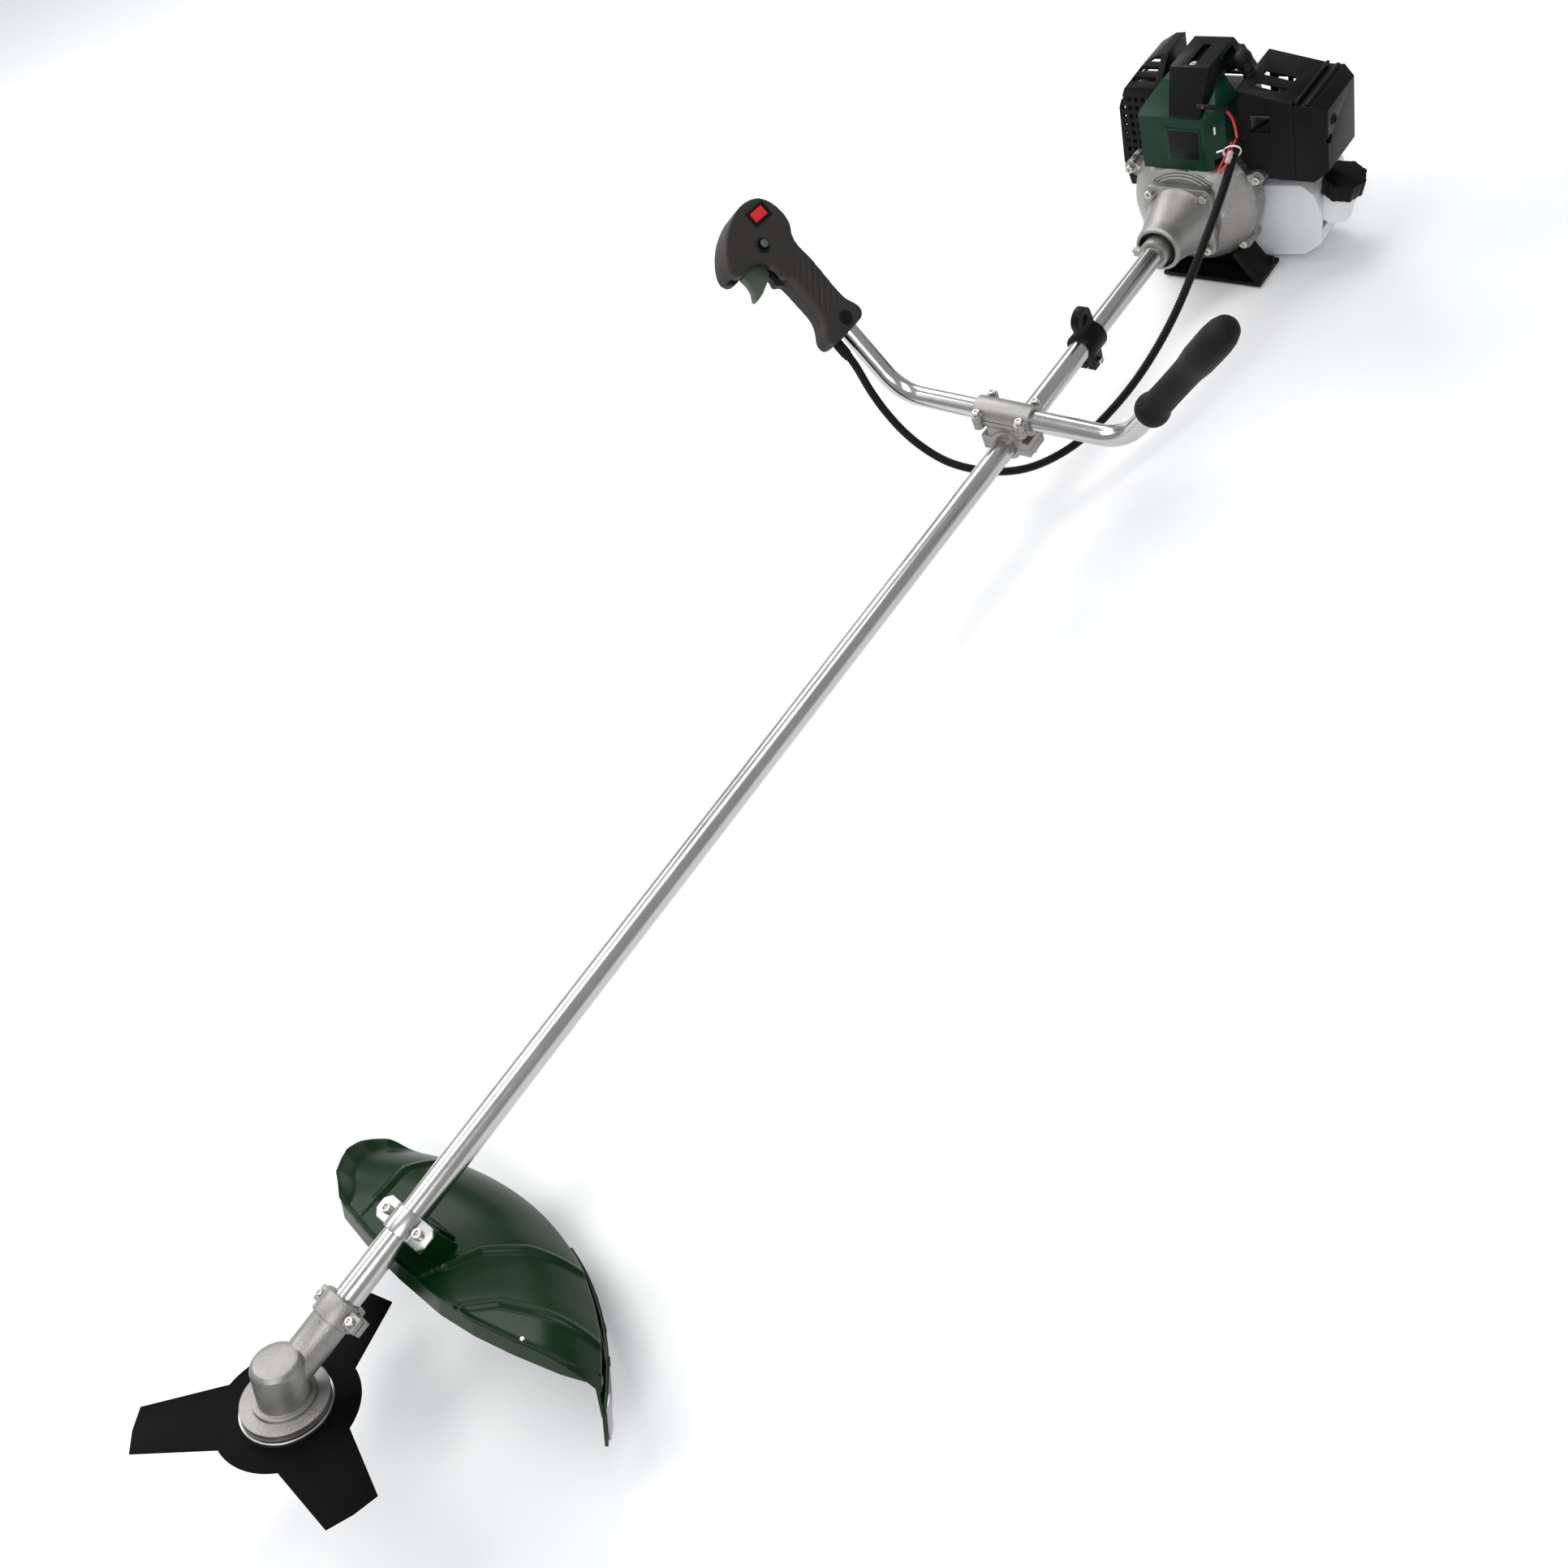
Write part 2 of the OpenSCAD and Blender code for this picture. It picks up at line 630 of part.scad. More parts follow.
// ---------- engine core ----------
module bolt_ears(x0, x1) {
    for (p = fan_bolts) {
        translate([x0, p[0], p[1]]) rotate([0, 90, 0]) cylinder(h = x1 - x0, r = 8);
        rotate([atan2(p[1], p[0]), 0, 0]) translate([x0, norm(p) - 18, -7]) cube([x1 - x0, 18, 14]);
    }
}
module fan_housing() color("#a9aaa8") machine() difference() {
    union() {
        turned_x([[1600.1, 0], [1600.1, 50], [1608, 60], [1622, 76], [1630, housing_r],
            [1645, housing_r], [1645, 0]]);
        bolt_ears(1630, 1645);
    }
    turned_x([[1604, 0], [1604, 50], [1611, 58], [1624, 72], [1632, housing_r - 4],
        [1646, housing_r - 4], [1646, 0]]);
    along_x(1599, 1606, 33.8);
    // Flat under the shroud
    translate([1590, -100, 58]) cube([70, 200, 60]);
}

module flywheel() color("#8f9193") machine() difference() {
    union() {
        along_x(1618, 1630, 52);
        for (a = [0:30:330]) rotate([a, 0, 0]) translate([1612, -1.5, 26]) cube([7, 3, 24]);
        along_x(1608, 1634, 13);
    }
    along_x(1600, 1640, 6);
}

module ignition_coil() color("#202020") machine() {
    translate([1618, -17, 52.7]) difference() {
        cube([12, 34, 4.8]);
        translate([-1, 12, -1]) cube([14, 10, 4.2]);
    }
}

module crankcase() color("#a3a4a2") machine() difference() {
    union() {
        along_x(1645.2, 1650, housing_r);
        bolt_ears(1645.2, 1657);
        along_x(1649, 1700, 46);
        translate([1649, -36, 10]) cube([49.5, 72, deck_z - 10.2]);
        for (s = [-1, 1]) translate([1690, s * 40, 48]) rotate([0, 90, 0]) cylinder(h = 12, r = 6);
        for (s = [-1, 1]) translate([1690, s * 40 - 5, 20]) cube([10, 10, 28]);
    }
    along_x(1657, 1689, 36);
    along_x(1640, 1710, 8.2);
    along_x(1647.5, 1657.2, 17.5 + fit);
    along_x(1688.8, 1701, 17.5 + fit);
    translate([cyl_x, 0, 0]) cylinder(h = 60, r = bore_r + 0.3);
    translate([1640, -69, 39.8]) cube([30, 138, 60]);
    translate([1660, -30, 39.8]) cube([60, 60, 60]);
    translate([1640, -100, 58]) cube([30, 200, 60]);
}

module crankshaft() color("#86888b") machine() {
    along_x(1582, 1647.5, 6);
    along_x(1647, 1659, 7.5);
    for (x = [1658.5, 1679.5]) {
        along_x(x, x + 8, 20);
        intersection() {
            along_x(x, x + 8, 33);
            translate([x, -40, 0]) cube([8, 80, 40]);
        }
        intersection() {
            translate([x, 0, pin_z]) rotate([0, 90, 0]) cylinder(h = 8, r = 12);
            along_x(x, x + 8, 33);
        }
    }
    along_x(1687, 1700, 7.5);
    along_x(1699, 1711, 5);
}

module piston() color("#b4b6b8") machine() translate([cyl_x, 0, 0]) difference() {
    disc_z(wrist_z - 11, wrist_z + 14, bore_r - 0.07);
    disc_z(wrist_z - 12, wrist_z + 9, bore_r - 3.2);
}

module connecting_rod() color("#7f8184") machine() {
    translate([cyl_x - 6.2, 0, pin_z]) rotate([0, 90, 0]) cylinder(h = 12.4, r = 6);
    translate([cyl_x - 5, 0, pin_z]) rotate([0, 90, 0]) cylinder(h = 10, r = 10);
    translate([cyl_x - 3, -3.5, pin_z]) cube([6, 7, rod_len]);
    translate([cyl_x - 5, 0, wrist_z]) rotate([0, 90, 0]) cylinder(h = 10, r = 7);
    translate([cyl_x - 18, 0, wrist_z]) rotate([0, 90, 0]) cylinder(h = 36, r = 4);
}

module cylinder_fins() {
    for (z = [59.5:7.5:112]) translate([cyl_x - 34, -39, z]) cube([68, 78, 2.2]);
}
module cylinder_block() {
    translate([cyl_x, 0, 0]) disc_z(deck_z, 114, 27.1);
    cylinder_fins();
    translate([cyl_x - 17, 24, 66]) cube([34, 22, 26]);
    translate([cyl_x - 15, -50, 70]) cube([30, 26, 22]);
}
module cylinder_part() color("#9c9d9c") machine() difference() {
    cylinder_block();
    translate([cyl_x, 0, 0]) disc_z(deck_z - 1, 100, bore_r);
    translate([cyl_x, 0, 0]) disc_z(98, 120, 6.2);
    translate([cyl_x, 60, 79]) rotate([90, 0, 0]) cylinder(h = 45, r = 9);
    translate([cyl_x, -15, 81]) rotate([90, 0, 0]) cylinder(h = 45, r = 8);
}

module spark_plug() color("#d8d6ce") machine() translate([cyl_x, 0, 0]) {
    disc_z(101, 115, 6);
    translate([0, 0, 114.2]) cylinder(h = 7, r = 9.5, $fn = 6);
    disc_z(121, 130, 4.5);
    disc_z(129, 141, 3);
}

module plug_boot() color("#151515") machine() difference() {
    union() {
        translate([cyl_x, 0, 0]) disc_z(124, 146, 10);
        translate([cyl_x, 0, 136.5]) rotate([70, 0, 0]) cylinder(h = 54, r = 7.5);
        translate([cyl_x, -52, 155.4]) sphere(r = 11);
    }
    translate([cyl_x, 0, 0]) disc_z(120, 131, 5);
    translate([cyl_x, 0, 0]) disc_z(120, 141.5, 3 + fit);
}

// ---------- covers ----------
shroud_outline = [[-52, 58.5], [-52, 122], [-34, 150], [30, 150], [48, 128], [48, 58.5]];
// Outer form of the shroud, moved in by d: sloping top front and a facet at its -Y front corner
module shroud_form(d) difference() {
    yz_extrude(1606 + d, 1712 - d) offset(delta = -d) polygon(shroud_outline);
    translate([1606, -70, 124 - 1.3 * d]) rotate([0, -37.4, 0]) translate([-20, 0, 0]) cube([110, 140, 60]);
    translate([1606 + 0.71 * d, -35 + 0.71 * d, 40]) rotate([0, 0, -45]) translate([-20, -40, 0])
        cube([80, 40, 140]);
}
module shroud() color("#0f3a26") machine() difference() {
    shroud_form(0);
    shroud_form(2.6);
    translate([1612, -49.4, 50]) cube([97, 94.8, 20]);
    // Rear grille
    for (z = [64:9:130]) translate([1700, -40, z]) cube([20, 78, 5.5]);
    // Openings for the exhaust, the intake and the plug
    translate([cyl_x - 19, 40, 60]) cube([38, 20, 36]);
    translate([cyl_x - 17, -60, 60]) cube([34, 20, 41]);
    translate([cyl_x - 14, -60, 126]) cube([28, 74, 40]);
    translate([1606, -49.4, 50]) cube([20, 94.8, 8.6]);
}

// Outer form of the top cover, which lies over the shroud's slope, moved in by d
module cover_form(d) hull() {
    translate([1603.5 + d, -32 + d, 126.5 - d]) cube([5, 38 - 2 * d, 3]);
    translate([1638, -38 + d, 150.3 - d]) cube([60 - d, 58 - 2 * d, 6]);
    translate([1632 + d, -33 + d, 160 - d]) cube([60 - 2 * d, 48 - 2 * d, 10]);
}
module top_cover() color("#1b1a19") machine() difference() {
    union() {
        difference() {
            cover_form(0);
            cover_form(2.8);
        }
        intersection() {
            cover_form(0);
            translate([1633, -17, 156]) cube([48, 16, 13]);
        }
    }
    shroud_form(-0.35);
    translate([1637, -14, 164]) cube([40, 10, 10]);
    translate([cyl_x - 12, -44, 140]) cube([24, 30, 26]);
}

module muffler() color("#4a4a4a") machine() {
    translate([1669, 53, 14]) cube([50, 45, 94]);
    translate([cyl_x - 8, 46.2, 67]) cube([23, 7, 24]);
    translate([1718, 88, 40]) rotate([0, 90, 0]) difference() {
        cylinder(h = 9, r = 8);
        translate([0, 0, 1]) cylinder(h = 9, r = 6.5);
    }
}

muffler_outline = [
    [50, -9], [50, 150], [62, 149], [82, 138], [98, 120], [108, 96], [112, 24], [106, -9]
];
// Outer form of the muffler's cover with its sloping top front, moved in by d
module muffler_form(d) difference() {
    yz_extrude(1662 + d, 1732 - d) offset(delta = -d) polygon(muffler_outline);
    translate([1662, 40, 122 - 1.41 * d]) rotate([0, -45, 0]) translate([-20, 0, 0]) cube([90, 80, 60]);
}
module muffler_cover() color("#151515") machine() difference() {
    muffler_form(0);
    muffler_form(2.6);
    translate([1664.6, 45, -6]) cube([64.8, 8, 124]);
    // Slots across the slope
    for (x = [1667, 1675, 1683]) translate([x, 58, 112]) cube([4, 30, 60]);
    translate([1728, 88, 40]) rotate([0, 90, 0]) cylinder(h = 10, r = 10);
    // Slots that wrap round the outer side
    for (z = [2:12:110]) if (z < 24 || z > 52) translate([1690, 70, z]) cube([50, 60, 6.5]);
    for (z = [26:12:50]) translate([1690, 103, z]) cube([50, 20, 6.5]);
    // Square holes beside the front edge and in the front face
    for (y = [72:9:100], z = [16:11:104]) translate([1660, y, z]) cube([8, 5, 5.5]);
    for (z = [14:12:98]) translate([1670, 104, z]) cube([5.5, 14, 6.5]);
    for (z = [14:12:98]) translate([1680, 104, z]) cube([5.5, 14, 6.5]);
}

module carburettor() color("#8b8c8c") machine() difference() {
    union() {
        translate([cyl_x - 16, -66, 62]) cube([32, 15.7, 38]);
        translate([cyl_x - 20, -98, 66]) cube([40, 32, 34]);
        translate([cyl_x, -82, 100]) cylinder(h = 8, r = 9);
    }
    translate([cyl_x, -40, 81]) rotate([90, 0, 0]) cylinder(h = 70, r = 8);
}

filter_outline = [[-128, 36], [-128, 130], [-62, 143], [-62, 58], [-84, 36]];
module filter_case() color("#171716") machine() difference() {
    yz_extrude(1634, 1716) polygon(filter_outline);
    yz_extrude(1636.6, 1713.4) offset(delta = -2.6) polygon(filter_outline);
    translate([1636.6, -70, 60]) cube([76.8, 20, 80]);
    // Slots on top and small ones at the back
    for (x = [1650, 1672]) translate([x, -112, 120]) cube([8, 36, 40]);
    for (z = [62:14:106]) translate([1700, -84, z]) cube([30, 12, 7]);
    translate([1700, -120, 66]) cube([30, 30, 46]);
    translate([1625, -100, 94]) cube([15, 24, 20]);
    translate([1629, -94, 30]) cube([31, 40, 17.5]);
    translate([1670, -112, 30]) cube([26, 38, 30]);
}

module filter_cover() color("#171716") machine() difference() {
    hull() {
        translate([1634, -150, 36]) cube([82, 21.6, 92]);
        translate([1642, -164, 46]) cube([66, 14, 74]);
    }
    translate([1638, -152, 40]) cube([74, 24, 84]);
    translate([1646, -150, 84]) rotate([90, 0, 0]) cylinder(h = 20, r = 5);
}

module choke_lever() color("#2a2a2a") machine() {
    translate([1694, -106, 84]) rotate([0, 90, 0]) cylinder(h = 12, r = 4);
    translate([1701, -118, 72]) rotate([-45, 0, 0]) cube([5, 10, 26]);
}

// ---------- recoil starter ----------
module starter_housing() color("#121212") machine() difference() {
    union() {
        along_x(1700.3, 1728, starter_r);
        along_x(1727, 1736, 46, 38);
        for (s = [-1, 1]) hull() {
            translate([1702.2, s * 40, 48]) rotate([0, 90, 0]) cylinder(h = 9.8, r = 9, $fn = 32);
            translate([1702.2, s * 24, 30]) rotate([0, 90, 0]) cylinder(h = 9.8, r = 9, $fn = 32);
        }
        hull() {
            translate([1706, -44, -12]) cube([24, 8, 20]);
            translate([1746, -61, 25] - 8 * pull) rotate([30, 0, 0]) cylinder(h = 6, r = 9, $fn = 32);
        }
    }
    difference() {
        along_x(1699, 1725, starter_r - 3);
        along_x(1715, 1726, 6);
    }
    translate([1746, -61, 25]) rotate([30, 0, 0]) translate([0, 0, -14]) cylinder(h = 30, r = 3);
}

module starter_pulley() color("#c9c5b8") machine() difference() {
    turned_x([[1712.5, 0], [1712.5, 32], [1714.5, 32], [1716, 26], [1718, 26], [1719.5, 32],
        [1721.5, 32], [1721.5, 0]]);
    along_x(1710, 1730, 6 + run);
}

module starter_rope() color("#e6e4dc") machine() translate([1746, -61, 25])
    rotate([30, 0, 0]) translate([0, 0, -9]) cylinder(h = 17.8, r = 2);

module starter_handle() color("#131313") machine() translate(handle_at) rotate([30, 0, 0]) {
    translate([0, 38, 0]) rotate([90, 0, 0]) cylinder(h = 76, r = 9);
    translate([0, 0, -26]) cylinder(h = 24, r1 = 5.5, r2 = 8);
}

// ---------- fuel system and stand ----------
tank_outline = [
    [-140, -70], [-120, -86], [-70, -94], [-20, -96], [40, -94], [86, -84], [100, -70], [106, -34],
    [97, -19], [60, -16], [-56, -12], [-70, 4], [-118, 8], [-134, -4], [-142, -30]
];
module fuel_tank() color([0.93, 0.94, 0.93, 0.9]) machine() difference() {
    union() {
        yz_extrude(1664, 1742) polygon(tank_outline);
        translate(cap_at) rotate([cap_tilt, 0, 0]) translate([0, 0, -34]) cylinder(h = 34, r = 19);
    }
    along_x(1650, 1760, starter_r + 4);
    translate([1650, -54, -40]) cube([100, 108, 60]);
    yz_extrude(1667, 1739) offset(delta = -3) polygon(concat(tank_outline, []));
    translate(cap_at) rotate([cap_tilt, 0, 0]) translate([0, 0, -50]) cylinder(h = 60, r = 16);
}

module fuel_cap() color("#141414") machine() translate(cap_at) rotate([cap_tilt, 0, 0]) {
    difference() {
        union() {
            cylinder(h = 20, r = 23);
            for (a = [0:45:315]) rotate([0, 0, a]) translate([20, 0, 0]) cylinder(h = 20, r = 5);
        }
        translate([0, 0, -1]) cylinder(h = 5, r = 19.4);
    }
    disc_z(-9, 4.5, 15.7);
}

module fuel_hoses() color("#c9c431") machine() {
    translate([1690, -90, 7.4]) cylinder(h = 5, r = 13);
    swept([[1690, -84, 12], [1690, -82, 20], [1690, -84, 32], [1688, -88, 44], [1684, -88, 56],
        [1681, -86.4, 64.2]], 5);
    swept([[1690, -96, 12], [1690, -100, 20], [1690, -104, 32], [1688, -104, 44], [1682, -98, 56],
        [1677.5, -95, 64.2]], 5);
}

module engine_stand() color("#151515") machine() difference() {
    union() {
        translate([1616, -84, stand_bottom]) cube([52, 132, 5]);
        translate([1618, 42, stand_bottom]) cube([36, 6, 60]);
        hull() {
            translate([1618, -84, stand_bottom]) cube([36, 6, 6]);
            translate([1618, -56, -66]) cube([36, 6, 6.8]);
        }
        translate([1652, -84, stand_bottom]) cube([5, 132, 16]);
    }
    along_x(1590, 1680, housing_r + fit);
}

outer_tube();
drive_shaft();
bearings();
gear_case();
pinion_gear();
output_gear();
spindle();
blade_holder();
blade();
blade_fasteners();
guard();
guard_extension();
guard_bracket();
line_knife();
bracket_base();
bracket_body();
bracket_cap();
handlebar();
plain_grip();
throttle_shell_front();
throttle_shell_back();
throttle_trigger();
lockout_lever();
lock_button();
stop_switch();
harness_clamp();
socket_screws();
throttle_loom();
loom_tail();
clutch_case();
tube_sleeve();
damper_ring();
clutch_drum();
clutch_shoes();
fan_housing();
flywheel();
ignition_coil();
crankcase();
crankshaft();
piston();
connecting_rod();
cylinder_part();  // cylinder
spark_plug();
plug_boot();
shroud();
top_cover();
muffler();
muffler_cover();
carburettor();
choke_lever();
filter_case();
filter_cover();
starter_housing();
starter_pulley();
starter_rope();
starter_handle();
fuel_tank();
fuel_cap();
fuel_hoses();
engine_stand();
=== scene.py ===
import json
import math

import bmesh
import bpy
from mathutils import Matrix, Vector


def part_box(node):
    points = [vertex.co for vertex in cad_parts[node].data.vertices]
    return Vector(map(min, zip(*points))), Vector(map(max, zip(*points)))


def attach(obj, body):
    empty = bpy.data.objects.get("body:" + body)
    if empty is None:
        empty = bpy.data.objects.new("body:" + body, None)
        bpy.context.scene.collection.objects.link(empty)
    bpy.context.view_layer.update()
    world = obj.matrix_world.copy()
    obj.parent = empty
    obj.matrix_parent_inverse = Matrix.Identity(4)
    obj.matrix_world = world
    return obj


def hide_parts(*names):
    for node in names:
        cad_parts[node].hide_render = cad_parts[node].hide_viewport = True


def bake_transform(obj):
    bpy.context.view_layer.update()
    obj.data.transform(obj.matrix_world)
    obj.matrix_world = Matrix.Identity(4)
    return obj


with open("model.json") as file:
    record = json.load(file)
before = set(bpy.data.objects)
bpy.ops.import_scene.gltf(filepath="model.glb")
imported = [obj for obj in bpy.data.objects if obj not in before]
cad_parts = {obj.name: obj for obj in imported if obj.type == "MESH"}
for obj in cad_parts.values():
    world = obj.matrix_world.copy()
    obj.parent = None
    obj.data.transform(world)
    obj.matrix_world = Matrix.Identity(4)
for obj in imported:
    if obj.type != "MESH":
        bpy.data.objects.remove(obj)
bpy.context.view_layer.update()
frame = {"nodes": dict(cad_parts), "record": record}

NODES = frame["nodes"]

# ---------- frames: machine millimetres to the row frame ----------
tube_low, tube_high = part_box("outer_tube")
TUBE = (tube_high - tube_low) * 1000
TUBE_LENGTH, TUBE_WIDTH, TUBE_MIDDLE = 1500, 26, 802
# How far the tube leans: its box is the length and the width turned by that angle
LIE = math.asin((TUBE_LENGTH * TUBE.z - TUBE_WIDTH * TUBE.x) / (TUBE_LENGTH ** 2 - TUBE_WIDTH ** 2))
ROW = (Matrix.Translation((tube_low + tube_high) / 2) @ Matrix.Rotation(LIE, 4, "Y")
       @ Matrix.Translation((-TUBE_MIDDLE / 1000, 0, 0)) @ Matrix.Scale(0.001, 4))
HEAD = ROW @ Matrix.Rotation(math.radians(30), 4, "Y")


def arm(side):
    """Frame of one handlebar arm: Z runs out along the arm, -Y is its inner face."""
    return (ROW @ Matrix.Translation((1199.5, 0, 33)) @ Matrix.Rotation(math.radians(5.2), 4, "Y")
            @ Matrix.Translation((0, side * 147, 0)) @ Matrix.Rotation(-side * math.radians(38), 4, "X"))


def at(x, y, z, turn_x=0.0, turn_y=0.0, turn_z=0.0, base=ROW):
    """A local frame at a machine point, turned by degrees."""
    m = base @ Matrix.Translation((x, y, z))
    for angle, axis in ((turn_z, "Z"), (turn_y, "Y"), (turn_x, "X")):
        m = m @ Matrix.Rotation(math.radians(angle), 4, axis)
    return m


# ---------- camera ----------
cam = bpy.data.objects.new("camera", bpy.data.cameras.new("camera"))
bpy.context.scene.collection.objects.link(cam)
bpy.context.scene.camera = cam
cam.data.lens, cam.data.sensor_width = 31.68, 36
cam.data.clip_start, cam.data.clip_end = 0.05, 50
right = Vector((0.5741773, -0.7518213, -0.3241683))
down = Vector((-0.7551591, -0.3333433, -0.5644617))
ahead = Vector((0.3163149, 0.5688997, -0.7591429))
lie3 = Matrix.Rotation(LIE, 3, "Y")
cam.matrix_world = (Matrix.Translation(ROW @ Vector((261.0, -824.0, 1047.0)))
                    @ Matrix((lie3 @ right, lie3 @ -down, lie3 @ -ahead)).transposed().to_4x4())


# ---------- materials ----------
def pbr(name, colour, rough=0.5, metal=0.0, vary=0.1, broad=18.0, grain=1100.0, bump=0.2, depth=0.0003,
        edge=0.25, worn=None, radius=0.0011, stretch=(1, 1, 1), spin=0.0, cells=0.0, spots=0.0, **fixed):
    """Procedural finish: broad tone changes, fine grain, lighter edges that are part wear and part painted
    highlight, and bump.
    """
    m = bpy.data.materials.new(name)
    m.use_nodes = True
    tree = m.node_tree
    shader = tree.nodes["Principled BSDF"]

    def add(kind, **values):
        n = tree.nodes.new(kind)
        for k, v in values.items():
            n.inputs[k].default_value = v
        return n

    wire = tree.links.new
    coord = add("ShaderNodeTexCoord")
    place = add("ShaderNodeMapping", Scale=stretch, Rotation=(0, spin, 0))
    wire(coord.outputs["Object"], place.inputs["Vector"])

    def noise(scale, detail, source=place):
        n = add("ShaderNodeTexNoise", Scale=scale, Detail=detail, Roughness=0.6)
        wire(source.outputs[0 if source is place else "Object"], n.inputs["Vector"])
        return n.outputs["Fac"]

    def span(value, a, b, c, d):
        n = tree.nodes.new("ShaderNodeMapRange")
        for i, v in enumerate((a, b, c, d)):
            n.inputs[i + 1].default_value = v
        wire(value, n.inputs["Value"])
        return n.outputs["Result"]

    def mix(factor, a, b):
        n = tree.nodes.new("ShaderNodeMix")
        n.data_type = "RGBA"
        wire(factor, n.inputs[0])
        for socket, c in ((n.inputs[6], a), (n.inputs[7], b)):
            if isinstance(c, bpy.types.NodeSocket):
                wire(c, socket)
            else:
                socket.default_value = (*c, 1)
        return n.outputs[2]

    def times(a, b):
        n = tree.nodes.new("ShaderNodeMath")
        n.operation = "MULTIPLY"
        wire(a, n.inputs[0])
        if isinstance(b, bpy.types.NodeSocket):
            wire(b, n.inputs[1])
        else:
            n.inputs[1].default_value = b
        return n.outputs[0]

    wide = noise(broad, 4, coord)
    fine = noise(grain, 3)
    tone = mix(span(wide, 0.3, 0.7, 0, 1), [c * (1 - vary) for c in colour],
               [min(1, c * (1 + vary)) for c in colour])
    speck = mix(span(fine, 0.35, 0.7, 0, 1), [c * (1 - vary) for c in colour],
                [min(1, c * (1 + vary)) for c in colour])
    blend = tree.nodes.new("ShaderNodeMix")
    blend.data_type = "RGBA"
    blend.inputs[0].default_value = 0.4
    wire(tone, blend.inputs[6])
    wire(speck, blend.inputs[7])
    base = blend.outputs[2]
    if spots:
        base = mix(span(noise(spots, 2, coord), 0.62, 0.72, 0, 0.5), base, [c * 0.55 for c in colour])
    # Edges, where the rounded normal turns away from the true one, are painted lighter: part wear, part painted
    # highlight
    soft = add("ShaderNodeBevel", Radius=radius)
    soft.samples = 4
    geo = tree.nodes.new("ShaderNodeNewGeometry")
    dot = tree.nodes.new("ShaderNodeVectorMath")
    dot.operation = "DOT_PRODUCT"
    wire(soft.outputs[0], dot.inputs[0])
    wire(geo.outputs["Normal"], dot.inputs[1])
    rim = times(span(dot.outputs["Value"], 0.995, 0.85, 0, edge), span(wide, 0.25, 0.6, 0.35, 1))
    # Painted highlight and wear: the edge mask mixes in the lighter edge colour
    wire(mix(rim, base, worn or [min(1, c * 1.6 + 0.03) for c in colour]), shader.inputs["Base Color"])
    wire(span(wide, 0.25, 0.75, max(0.02, rough * 0.82), min(1, rough * 1.2)), shader.inputs["Roughness"])
    height = fine
    if cells:
        v = add("ShaderNodeTexVoronoi", Scale=cells)
        wire(place.outputs[0], v.inputs["Vector"])
        height = times(v.outputs["Distance"], fine)
    b = add("ShaderNodeBump", Strength=bump, Distance=depth)
    wire(height, b.inputs["Height"])
    wire(soft.outputs[0], b.inputs["Normal"])
    wire(b.outputs[0], shader.inputs["Normal"])
    shader.inputs["Metallic"].default_value = metal
    for k, v in fixed.items():
        shader.inputs[k.replace("_", " ")].default_value = v
    return m


